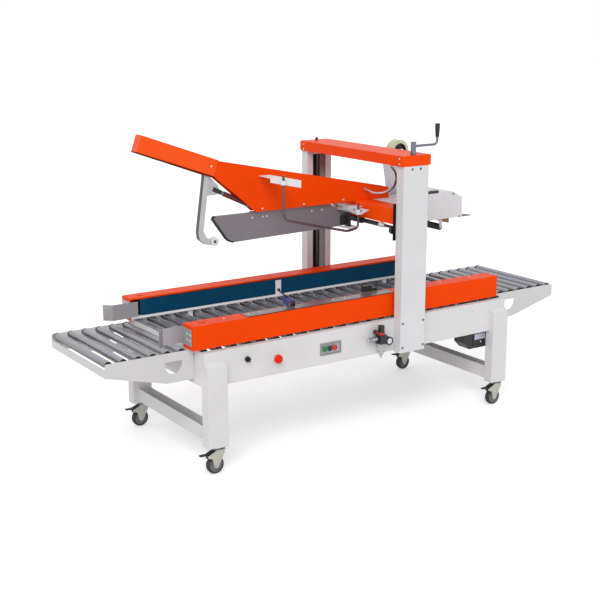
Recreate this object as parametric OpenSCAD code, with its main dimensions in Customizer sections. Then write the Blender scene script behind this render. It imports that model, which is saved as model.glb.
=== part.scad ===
// Carton sealer: roller bed on casters, two side belt units and a lifting head that folds and tapes.
// +X is the way cartons travel, +Y is away from the operator, +Z is up; the origin is on the floor.

/* [Bed] */
// Length of the main frame
frame_l = 1770; // [1700:10:1900]
// Width over the frame's side plates
frame_w = 732; // [710:2:760]
// Height of the side plates' top edge above the floor
frame_top = 556; // [540:1:580]
// Height of the side plates
frame_h = 157; // [145:1:180]
// Thickness of the frame's plates
plate_t = 4; // [3:0.5:6]
// Width of the flange under each side plate
flange_w = 30; // [20:1:40]
// Width of each cross member
cross_w = 50; // [30:1:70]
// Height of each cross member
cross_h = 36; // [25:1:50]
// Diameter of the rollers
roller_d = 34; // [30:1:36]
// Distance between the bed's rollers
roller_pitch = 75; // [72:1:78]
// Height of the rollers' tops above the side plates
roller_rise = 10; // [8:1:14]
// Wall of the rollers' tubes
roller_t = 2; // [1.5:0.5:4]
// Thickness of the rollers' end caps
cap_t = 8; // [5:1:12]
// Width of the side plates' top rims
rim_w = 30; // [24:1:34]
// Diameter of the rollers' axles
axle_d = 8; // [6:1:12]
// Diameter of the shafts that carry the belt units
shaft_d = 25; // [20:1:30]

/* [Tables] */
// Length of each end table
table_l = 425; // [400:5:460]
// Width over each table's side panels
table_w = 572; // [540:2:600]
// Height of the panels' top edge above the side plates
table_rise = 4; // [2:1:6]
// Depth of a side panel at the frame
table_deep = 135; // [120:1:150]
// Depth of a side panel at its outer end
table_shallow = 63; // [50:1:75]
// Length of the panel's level bottom edge
table_level = 131; // [110:1:150]
// Thickness of the tables' sheet
table_t = 3; // [2:0.5:4]
// Number of rollers in each table
table_roller_n = 6; // [5:1:6]
// Distance between the tables' rollers
table_pitch = 69; // [66:1:70]
// Width of the hand holes
hand_w = 86; // [70:1:100]
// Height of the hand holes
hand_h = 56; // [50:1:65]

/* [Legs and casters] */
// Width of each leg along the frame
leg_w = 100; // [85:1:115]
// Depth of each leg across the frame
leg_d = 52; // [44:1:60]
// How far the legs stand out from the side plates
leg_proud = 28; // [20:1:34]
// Height of the leg's tab up the side plate
leg_tab = 112; // [90:1:125]
// Drop of the tab's sloping top
leg_slope = 17; // [10:1:25]
// Thickness of the legs' sheet
leg_t = 3; // [2:0.5:4]
// Width of the cross bars' channel
bar_w = 60; // [50:1:70]
// Height of the cross bars' channel
bar_h = 65; // [50:1:80]
// Height of the casters with their plates
caster_h = 125; // [118:1:140]
// Diameter of the caster wheels
wheel_d = 82; // [70:1:86]
// Width of the caster wheels
wheel_w = 25; // [20:1:30]
// How far each wheel trails behind its swivel
trail = 26; // [20:1:34]
// Place of the infeed swivels along the frame
swivel_in_x = -816; // [-840:1:-815]
// Place of the outfeed swivels along the frame
swivel_out_x = 848; // [815:1:850]
// Diameter of the king pins
king_d = 16; // [12:1:20]

/* [Belt units] */
// Distance between the two belts
belt_gap = 504; // [480:2:520]
// Distance between the two lengths of one belt
belt_loop = 76; // [66:1:80]
// Height of the belts
belt_h = 76; // [60:1:78]
// Thickness of the belts
belt_t = 2.7; // [2:0.1:4]
// Place of the idler pulleys along the frame
idler_x = -847; // [-860:1:-820]
// Rows of roller gaps from the middle to the posts
post_gap_n = 8; // [7:1:9]
// Rows of roller gaps from the middle to the drive shafts
drive_gap_n = 10; // [10:1:11]
// Gap between rollers and covers
cover_gap = 2; // [2:1:8]
// Height of the covers
cover_h = 108; // [104:1:118]
// Width of each cover
cover_w = 86; // [86:1:92]
// Gap between the covers and the belts' carton faces
cover_back = 6; // [4:1:8]
// Gap between the belts' top edges and the covers' inner lips
lip_gap = 1; // [0.5:0.5:4]
// Thickness of the covers' sheet
cover_t = 2; // [1.5:0.5:3]
// Infeed end of the covers
cover_in_x = -925; // [-940:1:-905]
// How far the covers run past the drive shafts
cover_past = 90; // [80:1:110]
// Thickness of the base plates
base_t = 12; // [8:1:14]
// Length of the entry guides
guide_l = 95; // [70:1:120]
// Height of the entry guides
guide_h = 75; // [65:1:80]
// How far the entry guides' lips lead out, along and across the frame
guide_lip = 33; // [24:1:40]
// Depth of the entry guides' end plates
guide_d = 90; // [80:1:92]
// Thickness of the entry guides' sheet
guide_t = 2.5; // [2:0.5:4]
// Diameter of the drive shafts
drive_d = 16; // [12:1:18]
// Depth of the gear motors
motor_d = 100; // [90:1:104]
// Height of the gear motors
motor_h = 84; // [76:1:95]
// How far the gear motors reach from their shafts towards the infeed end
motor_l = 112; // [100:1:125]

/* [Carton switch] */
// Infeed end of the rail on the near cover
rail_in_x = -640; // [-680:1:-600]
// Outfeed end of the rail on the near cover
rail_out_x = 180; // [150:1:220]
// Width of the rail
rail_w = 68; // [50:1:76]
// Place of the switch along the frame
switch_x = -398; // [-420:1:-390]
// Tilt of the switch
switch_tilt = 14; // [8:1:18]
// Length of the switch body
switch_l = 62; // [56:1:68]
// Length of the switch lever from its pin to its tip
lever_l = 66; // [50:1:70]

/* [Gantry] */
// Place of the gantry along the frame
gantry_x = 233; // [200:1:260]
// Width of each column along the frame
column_w = 150; // [130:1:170]
// Depth of each column across the frame
column_d = 50; // [46:1:60]
// Thickness of the columns' sheet
column_t = 4; // [3:0.5:5]
// Height of the columns' tops above the floor
column_top = 1289; // [1270:1:1330]
// Width of the columns' slots
slot_w = 80; // [60:1:90]
// Width of the top beam
beam_w = 170; // [160:1:190]
// Height of the top beam
beam_h = 49; // [44:1:60]
// Thickness of the beam's sheet
beam_t = 3; // [2:0.5:4]
// Diameter of the leadscrews
screw_d = 20; // [18:1:24]
// Diameter of the leadscrews' journals
journal_d = 16; // [12:1:16]
// Radius of the sprockets
sprocket_r = 17; // [14:1:18]
// Radius of the crank
crank_r = 143; // [120:1:160]
// Diameter of the crank's rod
crank_d = 12; // [10:1:14]
// Length of the crank's grip
grip_l = 64; // [55:1:75]

/* [Head] */
// Height of the cross carriage's top above the floor
carriage_top = 1078; // [1070:1:1090]
// Height of the cross carriage
carriage_h = 75; // [60:1:80]
// Width of the cross carriage
carriage_w = 96; // [84:1:104]
// Thickness of the slide plates at the carriage's ends
slide_t = 6; // [4:0.5:8]
// Width over the head plates
head_w = 50; // [46:1:54]
// Thickness of the head plates
head_t = 3; // [2:0.5:4]
// Infeed end of the head plates' top edge
head_in_x = -598; // [-610:1:-585]
// Outfeed end of the head plates
head_out_x = 382; // [370:1:400]
// Height of the head plates at the outfeed end
head_out_h = 54; // [44:1:60]
// Rise of the head plates' top edge per unit of length
head_slope = 0.2; // [0.18:0.01:0.22]
// Where the head plates' lower corner sits along the frame
head_corner_x = -401; // [-410:1:-390]
// Tilt of the nose channel in degrees
nose_tilt = 19.4; // [17:0.1:22]
// Length of the nose channel
nose_l = 403; // [360:1:440]
// Height of the nose channel
nose_h = 75; // [68:1:78]
// Thickness of the nose channel's sheet
nose_t = 2.5; // [2:0.5:3.5]
// Thickness of the flap plate
flap_t = 15; // [12:1:18]
// Height of the flap plate
flap_h = 130; // [115:1:136]
// Infeed end of the flap plate
flap_in_x = -624; // [-640:1:-610]
// Outfeed end of the flap plate
flap_out_x = 118; // [100:1:124]
// Diameter of the guide rods
rod_d = 12; // [10:1:14]
// Place of the guide rods' infeed ends along the frame
rod_in_x = -361; // [-380:1:-350]
// Distance of the guide rods' infeed ends from the middle
rod_in_y = 197; // [185:1:210]
// Place of the guide rods' outfeed ends along the frame
rod_out_x = 137; // [134:1:140]
// Distance of the guide rods' outfeed ends from the middle
rod_out_y = 100; // [90:1:115]
// Thickness of the rod brackets' sheet
bracket_t = 3; // [2:0.5:4]

/* [Kicker] */
// Width of the kicker arm
kicker_w = 27; // [24:1:32]
// Thickness of the kicker arm
kicker_t = 26; // [20:1:28]
// Diameter of the kicker roller
kicker_roller_d = 42; // [34:1:44]
// Diameter of the pins that the kicker and its cylinder swing on
pin_d = 12; // [10:1:14]
// Diameter of the kicker cylinder
cylinder_d = 24; // [22:1:32]
// Diameter of the kicker cylinder's rod
piston_d = 12; // [8:1:14]

/* [Tape unit] */
// Length of the tape case
case_l = 568; // [540:1:590]
// Width of the tape case
case_w = 120; // [110:1:130]
// Height of the tape case
case_h = 138; // [125:1:145]
// Thickness of the tape case's sheet
case_t = 2.5; // [2:0.5:3.5]
// Diameter of the wipe roller
wipe_d = 34; // [28:1:38]
// Width of the wipe roller
wipe_w = 90; // [80:1:94]
// Outer diameter of the tape roll
tape_d = 110; // [95:1:120]
// Inner diameter of the tape roll
tape_core_d = 76; // [70:1:80]
// Width of the tape
tape_w = 50; // [45:1:54]
// Diameter of the conduit to the head
conduit_d = 13; // [11:1:15]

/* [Controls] */
// Place of the selector along the frame
selector_x = -667; // [-700:1:-640]
// Place of the emergency stop along the frame
estop_x = -517; // [-540:1:-490]
// Diameter of the emergency stop's head
estop_d = 40; // [36:1:44]
// Place of the middle push button along the frame
station_x = -222; // [-240:1:-200]
// Distance between the push buttons
button_pitch = 28; // [26:1:30]
// Diameter of the push buttons
button_d = 18; // [16:1:20]
// Place of the air regulator along the frame
regulator_x = 62; // [50:1:70]
// Diameter of the pressure gauge
gauge_d = 40; // [36:1:44]

/* [Output] */
// Sub-part to draw

/* [Hidden] */
$fn = 48;
white_paint = [0.86, 0.86, 0.87];
orange_paint = [0.94, 0.28, 0.02];
steel = [0.62, 0.64, 0.67];
chrome = [0.8, 0.81, 0.83];
dark = [0.06, 0.06, 0.07];
rubber_grey = [0.2, 0.2, 0.21];
belt_blue = [0.0, 0.23, 0.33];
blade_grey = [0.46, 0.44, 0.45];

run = 0.05; // running clearance all round a turning pin
free = 0.5; // gap between flat faces that move past each other
over = 1; // how far a cut runs past a face

half_l = frame_l / 2;
half_w = frame_w / 2;
plate_in = half_w - plate_t;
frame_bottom = frame_top - frame_h;
roller_z = frame_top + roller_rise - roller_d / 2;
roller_top = frame_top + roller_rise;
roller_space = roller_pitch - roller_d;
rim_t = 2.5;
axle_skin = 1;
seam = 0.2;
bed_n = 2 * floor((half_l - plate_t - roller_d / 2) / roller_pitch + 0.5);

table_gap = 8;
table_top = frame_top + table_rise;
table_x = half_l + table_gap;
table_end = half_l + table_l;
table_bottom = table_top - table_deep;
hand_x = table_x + 97;
hand_top = table_top - 40;

leg_out = half_w + leg_proud;
leg_back = leg_out - leg_d;
leg_bottom = caster_h;
leg_top = frame_bottom + leg_tab;
bar_z = leg_bottom + 10;
bar_x = half_l - leg_w / 2 - 8;
swivel_y = (leg_out + leg_back) / 2;
caster_plate_t = 4;
caster_plate_l = 62;
crown_top = caster_h - caster_plate_t - free;
crown_bottom = crown_top - 12;
wheel_z = wheel_d / 2;
wheel_axle_d = 10;
brake_l = 101;
brake_z = caster_h - 33;
shoe_z = wheel_z + sqrt(pow(wheel_d / 2, 2) - pow(24, 2)) + 1;
fork_in = wheel_w / 2 + 2.5;
fork_t = 3;

belt_in = belt_gap / 2;
belt_r = belt_loop / 2;
pulley_y = belt_in + belt_r;
pulley_r = belt_r - belt_t - 0.3;
post_x = post_gap_n * roller_pitch;
drive_x = drive_gap_n * roller_pitch + 5;
cover_bottom = roller_top + cover_gap;
cover_top = cover_bottom + cover_h;
cover_in = belt_in + cover_back;
cover_out = cover_in + cover_w;
cover_out_x = drive_x + cover_past;
base_in = belt_in + 1;
base_out = cover_out - cover_t;
base_z = cover_bottom + 9;
base_top = base_z + base_t;
belt_z = base_top + 2;
lip_z = belt_z + belt_h + lip_gap;
post_w = roller_space - 13;
tube_r = roller_space / 2 - 7.5;
slide_z = frame_bottom + 81;
slide_w = shaft_d + 19;
motor_top = frame_bottom - 4;
neck_top = slide_z - 40;
guide_in = belt_in - 5;
guide_x = cover_in_x - guide_l;

column_y = half_w + column_d / 2;
screw_low = frame_top + 44;
beam_top = column_top + beam_h;
beam_half = half_w + column_d + 2;
chain_z = column_top + 14;
crank_z = beam_top + 40;

carriage_bottom = carriage_top - carriage_h;
slide_half = carriage_w / 2 + 39;
head_half = head_w / 2;
head_in = head_half - head_t;
head_out_z = carriage_top + head_out_h;
head_in_z = head_out_z + (head_out_x - head_in_x) * head_slope;
nose_x = head_in_x - nose_h * sin(nose_tilt);
nose_z = head_in_z + 5 - nose_h * cos(nose_tilt);
flap_top = carriage_top - 3;
flap_bottom = flap_top - flap_h;
hanger_t = 4;
rod_top = flap_top + 191;
rod_low = flap_bottom + 4;
far_rod_rise = 75;
bracket_z = rod_top - 19;

kicker_x = nose_x - 26;
kicker_z = nose_z + 27;
elbow_x = kicker_x - 40;
elbow_z = flap_bottom + 70;
foot_x = kicker_x + 32;
foot_z = flap_bottom + 15;
eye_x = head_corner_x - 24;
eye_z = carriage_top + 34;
gusset_x = kicker_x + 39;
gusset_z = kicker_z - 92;
stroke_l = norm([gusset_x - eye_x, gusset_z - eye_z]);
stroke_a = atan2(gusset_z - eye_z, eye_x - gusset_x);
gusset_t = 8;
gusset_hole_r = 18.5;
clevis_in = gusset_t / 2 + 2;

case_x = gantry_x + carriage_w / 2;
case_end = case_x + case_l;
case_bottom = carriage_top - case_h;
case_in = case_w / 2 - case_t;
wipe_pivot_x = case_x + 260;
wipe_pivot_z = carriage_top - 70;
wipe_x = wipe_pivot_x + 171;
wipe_z = case_bottom - 43;
wipe_in = wipe_w / 2 + 3;
mast_y = tape_w / 2 + 4;
mast_t = 4;
tape_x = case_x + 172;
tape_z = carriage_top + 228;
spindle_d = 16;

button_z = frame_top - 83;
estop_z = frame_top - 80;
selector_z = frame_top - 60;
station_t = 3;
stem_in = plate_in - 4;
regulator_y = half_w + 26;
regulator_z = frame_top - 100;
rail_t = 3;
rail_top = cover_top + rail_t;
rail_y = 6 - cover_out;
switch_y = rail_y + 16;
switch_z = rail_top + 20;
lever_y = switch_l - 10;

// The conduit's route from the beam down to the head
conduit_route = [
    [155, -325, column_top], [165, -323, column_top - 12], [182, -318, column_top - 27],
    [196, -310, column_top - 40], [208, -300, column_top - 53], [221, -286, column_top - 69],
    [232, -268, column_top - 86], [243, -248, column_top - 104], [249, -228, column_top - 121],
    [251, -205, column_top - 137], [249, -184, column_top - 149], [242, -163, column_top - 158],
    [234, -143, column_top - 162], [229, -120, column_top - 164], [226, -98, column_top - 163],
    [227, -76, column_top - 160], [229, -54, column_top - 157], [232, -head_half, column_top - 153]
];

// Draws its children and their mirror image on the far side
module both_sides() {
    children();
    mirror([0, 1, 0]) children();
}

// Draws its children and their mirror image at the other end
module both_ends() {
    children();
    mirror([1, 0, 0]) children();
}

// A box between two corners
module box(low, high) translate(low) cube(high - low);

// A flat plate in the X-Z plane between two Y values
module plate_xz(y_low, y_high)
    translate([0, y_high, 0]) rotate([90, 0, 0]) linear_extrude(y_high - y_low) children();

// A round bar along Y between two Y values
module pin_y(x, z, d, y_low, y_high)
    translate([x, y_high, z]) rotate([90, 0, 0]) cylinder(d = d, h = y_high - y_low);

// A round bar between two points
module bar(a, b, d) {
    v = b - a;
    translate(a)
        rotate([0, acos(v.z / norm(v)), atan2(v.y, v.x)])
        cylinder(d = d, h = norm(v));
}

// A round bar along a run of points, with slightly larger balls at the bends
module bent_bar(points, d) {
    for (i = [0 : len(points) - 2]) bar(points[i], points[i + 1], d);
    for (i = [1 : len(points) - 2]) translate(points[i]) sphere(d = d + 0.6);
}

// A flat loop round two centres on X
module loop_2d(x_low, x_high, r) {
    translate([x_low, -r]) square([x_high - x_low, 2 * r]);
    translate([x_low, 0]) circle(r);
    translate([x_high, 0]) circle(r);
}

// Points of an arc, for rounded corners
function arc(cx, cy, r, from, to, n = 6) =
    [for (i = [0 : n]) [cx + r * cos(from + (to - from) * i / n), cy + r * sin(from + (to - from) * i / n)]];

// A point in the tilted nose's own frame: u along it, w up from its lower edge
function nose_point(u, w) = [
    nose_x - u * cos(nose_tilt) + w * sin(nose_tilt),
    nose_z + u * sin(nose_tilt) + w * cos(nose_tilt)
];

// A point in the kicker cylinder's own frame: u from its eye to the rod's end
function stroke_point(u) = [eye_x - u * cos(stroke_a), 0, eye_z + u * sin(stroke_a)];

// Frame of the bed: side plates, end plates and cross members bolted together with a fine seam between

module side_plate() {
    edge = half_l - plate_t - seam;
    box([-half_l, -half_w, frame_bottom], [half_l, -plate_in, frame_top]);
    box([-edge, -half_w, frame_bottom], [edge, flange_w - half_w, frame_bottom + plate_t]);
    box([-edge, -half_w, frame_top - rim_t], [edge, rim_w - half_w, frame_top]);
}

module axle_hole(x) pin_y(x, roller_z, axle_d + 4 * run, axle_skin - half_w, half_w - axle_skin);

module main_frame() color(white_paint) difference() {
    union() {
        both_sides() side_plate();
        both_ends() box([-half_l, seam - plate_in, frame_bottom],
            [plate_t - half_l, plate_in - seam, frame_top]);
        for (x = [-450 : 450 : 450])
            box([x - cross_w / 2, seam - plate_in, frame_bottom + plate_t + seam],
                [x + cross_w / 2, plate_in - seam, frame_bottom + cross_h]);
    }
    for (i = [0 : bed_n - 1]) axle_hole(roller_pitch * (i - (bed_n - 1) / 2));
    for (x = [-450 : 450 : 450])
        box([x - cross_w / 2 + plate_t, -plate_in + plate_t, frame_bottom - over],
            [x + cross_w / 2 - plate_t, plate_in - plate_t, frame_bottom + cross_h - plate_t]);
    for (i = [-1 : 1])
        pin_y(station_x + i * button_pitch, button_z, button_d + 2 * free, -half_w - over, over - plate_in);
    pin_y(estop_x, estop_z, button_d + 2 * free, -half_w - over, over - plate_in);
    pin_y(selector_x, selector_z, pin_d + 2 * free, -half_w - over, over - plate_in);
}

module leg() {
    profile = [
        [-leg_out, leg_bottom], [-leg_out, leg_top - leg_slope], [-half_w, leg_top],
        [-half_w, frame_bottom], [-leg_back, frame_bottom], [-leg_back, leg_bottom]
    ];
    pocket = [
        [leg_t - leg_out, leg_bottom - over], [leg_t - leg_out, leg_top - leg_slope - leg_t],
        [over - half_w, leg_top - leg_t - 1], [over - half_w, frame_bottom - leg_t],
        [-leg_back - leg_t, frame_bottom - leg_t], [-leg_back - leg_t, leg_bottom - over]
    ];
    translate([-half_l, 0, 0]) difference() {
        rotate([90, 0, 90]) linear_extrude(leg_w) polygon(profile);
        translate([leg_t, 0, 0]) rotate([90, 0, 90]) linear_extrude(leg_w - 2 * leg_t) polygon(pocket);
    }
}

module cross_bar() difference() {
    box([-bar_x - bar_w / 2, -leg_back, bar_z], [-bar_x + bar_w / 2, leg_back, bar_z + bar_h]);
    box([-bar_x - bar_w / 2 + leg_t, -leg_back - over, bar_z + leg_t],
        [-bar_x + bar_w / 2 - leg_t, leg_back + over, bar_z + bar_h + over]);
}

// The fixed plate of a caster with its king pin
module caster_plate(x) translate([x, -swivel_y, 0]) {
    box([-caster_plate_l / 2, 1 - leg_d / 2, caster_h - caster_plate_t],
        [caster_plate_l / 2, leg_d / 2 - 1, caster_h]);
    translate([0, 0, crown_bottom - free - 4]) cylinder(d = king_d, h = caster_h - crown_bottom + free);
    translate([0, 0, crown_bottom - free - 4]) cylinder(d = king_d + 8, h = 4);
}

module leg_frames() color(white_paint) {
    both_ends() {
        both_sides() leg();
        cross_bar();
    }
    both_sides() {
        caster_plate(swivel_in_x);
        caster_plate(swivel_out_x);
    }
}

module table_panel() plate_xz(-table_w / 2, table_t - table_w / 2) difference() {
    corner = 9;
    polygon(concat(
        [[-table_x, table_top], [-table_x, table_bottom], [-table_x - table_level, table_bottom]],
        arc(-table_end + corner, table_top - table_shallow + corner, corner, -100, -180),
        arc(-table_end + corner, table_top - corner, corner, 180, 90)
    ));
    intersection() {
        translate([-hand_x, hand_top]) scale([1, hand_h * 2 / hand_w]) circle(d = hand_w);
        translate([-hand_x - hand_w, hand_top - hand_w]) square([2 * hand_w, hand_w]);
    }
}

module end_table() {
    inner = table_w / 2 - table_t;
    both_sides() table_panel();
    box([-table_x - table_t, -inner, table_bottom], [-half_l, inner, table_top - 28]);
    box([-table_end, -inner, table_top - table_shallow], [table_t - table_end, inner, table_top - 27]);
}

module end_tables() color(white_paint) both_ends() end_table();

// A tube with end caps that turns on its own axle
module roller(x, face, end) {
    difference() {
        pin_y(x, roller_z, roller_d, -face, face);
        pin_y(x, roller_z, roller_d - 2 * roller_t, cap_t - face, face - cap_t);
        pin_y(x, roller_z, axle_d + 2 * run, -face - over, face + over);
    }
    pin_y(x, roller_z, axle_d, -end, end);
}

module conveyor_rollers() color(steel) {
    for (i = [0 : bed_n - 1]) roller(roller_pitch * (i - (bed_n - 1) / 2), half_w - rim_w - 4,
        half_w - axle_skin - free);
    both_ends() for (i = [0 : table_roller_n - 1])
        roller(-table_end + table_t + roller_d / 2 + 3 + table_pitch * i,
            table_w / 2 - table_t - 7, table_w / 2 - table_t);
}

module guide_shafts() color(chrome) both_ends() pin_y(-post_x, slide_z, shaft_d, -plate_in, plate_in);

// Casters, each drawn round its own swivel

module fork_at(x, side) color(steel) translate([x, side * swivel_y, 0]) {
    difference() {
        union() {
            translate([0, 0, crown_bottom]) cylinder(d = 44, h = crown_top - crown_bottom);
            box([-24, -fork_in - fork_t, crown_bottom], [22, fork_in + fork_t, crown_bottom + 4]);
            both_sides() plate_xz(fork_in, fork_in + fork_t) {
                polygon([[-20, crown_bottom + 4], [16, crown_bottom + 4], [16, crown_bottom - 12],
                    [13 - trail, wheel_z - 4], [-13 - trail, wheel_z - 4], [-20 - trail, brake_z - 18],
                    [-42 - trail, brake_z - 11], [-42 - trail, brake_z - 1]]);
                translate([-trail, wheel_z]) circle(13);
            }
            plate_xz(-9, 9) polygon([[-brake_l, brake_z], [-40 - trail, brake_z], [-16, crown_bottom - 6],
                [-16, crown_bottom + 1], [-24, crown_bottom + 1], [-42 - trail, brake_z + 5],
                [-brake_l, brake_z + 5]]);
            box([-trail - 40, -9, shoe_z], [-trail - 24, 9, brake_z + 4]);
        }
        translate([0, 0, crown_bottom - over]) cylinder(d = king_d + 2 * run, h = crown_top);
    }
    pin_y(-trail, wheel_z, wheel_axle_d, -fork_in - fork_t - 2, fork_in + fork_t + 2);
}

module wheel_at(x, side) color(rubber_grey)
    translate([x - trail, side * swivel_y, wheel_z]) rotate([90, 0, 0]) rotate_extrude() polygon(concat(
        [[wheel_axle_d / 2 + run, -wheel_w / 2], [wheel_axle_d / 2 + run, wheel_w / 2]],
        arc(wheel_d / 2 - 6, wheel_w / 2 - 6, 6, 90, 0), arc(wheel_d / 2 - 6, 6 - wheel_w / 2, 6, 0, -90)
    ));

module fork_near_in() fork_at(swivel_in_x, -1);
module fork_near_out() fork_at(swivel_out_x, -1);
module fork_far_in() fork_at(swivel_in_x, 1);
module fork_far_out() fork_at(swivel_out_x, 1);
module wheel_near_in() wheel_at(swivel_in_x, -1);
module wheel_near_out() wheel_at(swivel_out_x, -1);
module wheel_far_in() wheel_at(swivel_in_x, 1);
module wheel_far_out() wheel_at(swivel_out_x, 1);

// Belt unit, drawn on the near side and mirrored for the far one

module entry_guide() {
    low = base_top - 3;
    high = low + guide_h;
    tail = cover_in_x + 35;
    near = cover_in_x - free;
    slant = guide_t * sqrt(2);
    box([near - guide_t, free - cover_in, low], [tail, -guide_in, base_top]);
    box([guide_x, -guide_in - guide_t, low], [tail, -guide_in, high]);
    box([near - guide_t, -guide_in - guide_d, low], [near, -guide_in, high]);
    translate([guide_x, -guide_in, low]) linear_extrude(guide_h) polygon([[0, 0], [-guide_lip, -guide_lip],
        [-guide_lip, -guide_lip - slant], [0, -slant]]);
}

module slide_post(x) difference() {
    union() {
        box([x - post_w / 2, -pulley_y - 20, slide_z], [x + post_w / 2, 20 - pulley_y, base_z]);
        box([x - slide_w / 2, -pulley_y - 30, slide_z - slide_w / 2],
            [x + slide_w / 2, 30 - pulley_y, slide_z + slide_w / 2]);
    }
    pin_y(x, slide_z, shaft_d + 2 * run, -pulley_y - 40, 40 - pulley_y);
}

module belt_carrier() color(white_paint) {
    difference() {
        union() {
            box([cover_in_x + cover_t, -base_out, base_z], [cover_out_x - cover_t, -base_in, base_top]);
            translate([drive_x, -pulley_y, neck_top]) cylinder(r = tube_r, h = base_z - neck_top);
        }
        translate([drive_x, -pulley_y, neck_top - over]) cylinder(d = drive_d + 2 * run, h = 300);
    }
    slide_post(-post_x);
    slide_post(post_x);
    translate([idler_x, -pulley_y, base_top]) cylinder(d = drive_d, h = belt_h);
    box([-118, -base_in, base_z], [-85, -belt_in + 4, base_top]);
    box([-118, -belt_in + 1, base_z], [-85, -belt_in + 4, lip_z - 6]);
    entry_guide();
}

module belt_cover() color(orange_paint) {
    difference() {
        box([cover_in_x, -cover_out, cover_bottom], [cover_out_x, -cover_in, cover_top]);
        box([cover_in_x + cover_t, cover_t - cover_out, cover_bottom - over],
            [cover_out_x - cover_t, -cover_in - cover_t, cover_top - cover_t]);
        box([cover_in_x + cover_t, -cover_in - cover_t - over, cover_bottom - over],
            [cover_out_x - cover_t, over - cover_in, lip_z]);
        box([idler_x - 25, -pulley_y - 15, lip_z], [idler_x + 12, -pulley_y - 5, cover_top + over]);
    }
}

module flat_belt() color(belt_blue) translate([0, -pulley_y, belt_z]) linear_extrude(belt_h) difference() {
    loop_2d(idler_x, drive_x, belt_r);
    loop_2d(idler_x, drive_x, belt_r - belt_t);
}

module drive_pulley() color(steel) translate([drive_x, -pulley_y, 0]) {
    translate([0, 0, belt_z]) cylinder(r = pulley_r, h = belt_h);
    translate([0, 0, motor_top]) cylinder(d = drive_d, h = belt_z - motor_top + over);
}

module idler_pulley() color(steel) translate([idler_x, -pulley_y, belt_z]) difference() {
    cylinder(r = pulley_r, h = belt_h);
    translate([0, 0, -over]) cylinder(d = drive_d + 2 * run, h = belt_h + 2 * over);
}

module gear_motor() color(dark) translate([drive_x, -pulley_y, 0]) difference() {
    half = motor_d / 2;
    low = motor_top - motor_h;
    union() {
        plate_xz(-half, half - 20) polygon([[-motor_l, motor_top], [-motor_l, low + 34],
            [34 - motor_l, low], [half, low], [half, motor_top]]);
        translate([0, 0, motor_top - over]) cylinder(d = motor_d / 2, h = neck_top - motor_top + over);
    }
    translate([0, 0, motor_top - 5]) cylinder(d = drive_d + 2 * free, h = 100);
}

module near_carrier() belt_carrier();
module near_cover() belt_cover();
module near_belt() flat_belt();
module near_drive() drive_pulley();
module near_idler() idler_pulley();
module near_motor() gear_motor();
module far_carrier() mirror([0, 1, 0]) belt_carrier();
module far_cover() mirror([0, 1, 0]) belt_cover();
module far_belt() mirror([0, 1, 0]) flat_belt();
module far_drive() mirror([0, 1, 0]) drive_pulley();
module far_idler() mirror([0, 1, 0]) idler_pulley();
module far_motor() mirror([0, 1, 0]) gear_motor();

// Draws its children in the tilted frame of the switch
module at_switch() translate([switch_x, switch_y, switch_z]) rotate([switch_tilt, 0, 0]) children();

module carton_sensors() color(steel) {
    box([rail_in_x, rail_y, cover_top], [rail_out_x, rail_y + rail_w, rail_top]);
    box([switch_x - 17, switch_y + 4, cover_top], [switch_x + 17, switch_y + 22, switch_z - 8]);
    at_switch() {
        box([-14, 0, -11], [14, switch_l, 11]);
        box([-17, -4, -14], [17, switch_l - 8, -10]);
        box([-17, -4, -14], [-13, switch_l - 8, 5]);
        box([13, -4, -14], [17, switch_l - 8, 5]);
        translate([0, lever_y, 10]) cylinder(d = 6, h = 6);
    }
    box([43, -cover_in - 18, rail_top - over], [124, -cover_in + 4, rail_top + 4]);
    box([43, -cover_in - 18, rail_top], [92, -cover_in + 4, rail_top + 33]);
    box([90, -cover_in - 14, rail_top], [124, -cover_in, rail_top + 17]);
}

module switch_lever() color(dark) at_switch() translate([0, lever_y, 11 + free]) {
    difference() {
        linear_extrude(3) {
            circle(8);
            translate([-4, 0]) square([8, lever_l]);
        }
        translate([0, 0, -over]) cylinder(d = 6 + 2 * run, h = 3 + 2 * over);
    }
    translate([0, lever_l, 0]) cylinder(d = 14, h = 9);
}

// Gantry

module column() color(white_paint) {
    x_low = gantry_x - column_w / 2;
    x_high = gantry_x + column_w / 2;
    low = frame_bottom - 5;
    difference() {
        box([x_low, -half_w - column_d, low], [x_high, -half_w, column_top]);
        box([x_low + column_t, -half_w - column_d + column_t, low - over],
            [x_high - column_t, -half_w - column_t, screw_low]);
        box([x_low + column_t, -half_w - column_d + column_t, screw_low + 8],
            [x_high - column_t, -half_w - column_t, column_top - 8]);
        box([gantry_x - slot_w / 2, -half_w - column_t - over, screw_low + 20],
            [gantry_x + slot_w / 2, over - half_w, column_top - 20]);
        translate([gantry_x, -column_y, screw_low - over])
            cylinder(d = journal_d + 2 * run, h = column_top);
    }
}

module near_column() column();
module far_column() mirror([0, 1, 0]) column();

module top_beam() color(orange_paint) difference() {
    box([gantry_x - beam_w / 2, -beam_half, column_top], [gantry_x + beam_w / 2, beam_half, beam_top]);
    box([gantry_x - beam_w / 2 + beam_t, beam_t - beam_half, column_top + beam_t],
        [gantry_x + beam_w / 2 - beam_t, beam_half - beam_t, beam_top - beam_t]);
    box([gantry_x - 40, -half_w + 80, column_top - over],
        [gantry_x + 40, half_w - 80, column_top + 2 * beam_t]);
    both_sides() translate([gantry_x, -column_y, column_top - over])
        cylinder(d = journal_d + 4 * free, h = beam_h + 2 * over);
}

module screw(top) color(chrome) translate([gantry_x, -column_y, 0]) {
    translate([0, 0, screw_low + 8 + free]) cylinder(d = screw_d, h = column_top - screw_low - 16 - 2 * free);
    translate([0, 0, screw_low]) cylinder(d = journal_d, h = top - screw_low);
    translate([0, 0, chain_z]) cylinder(r = sprocket_r, h = 5);
}

module near_screw() screw(beam_top + 20);
module far_screw() mirror([0, 1, 0]) screw(beam_top + 14);

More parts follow.
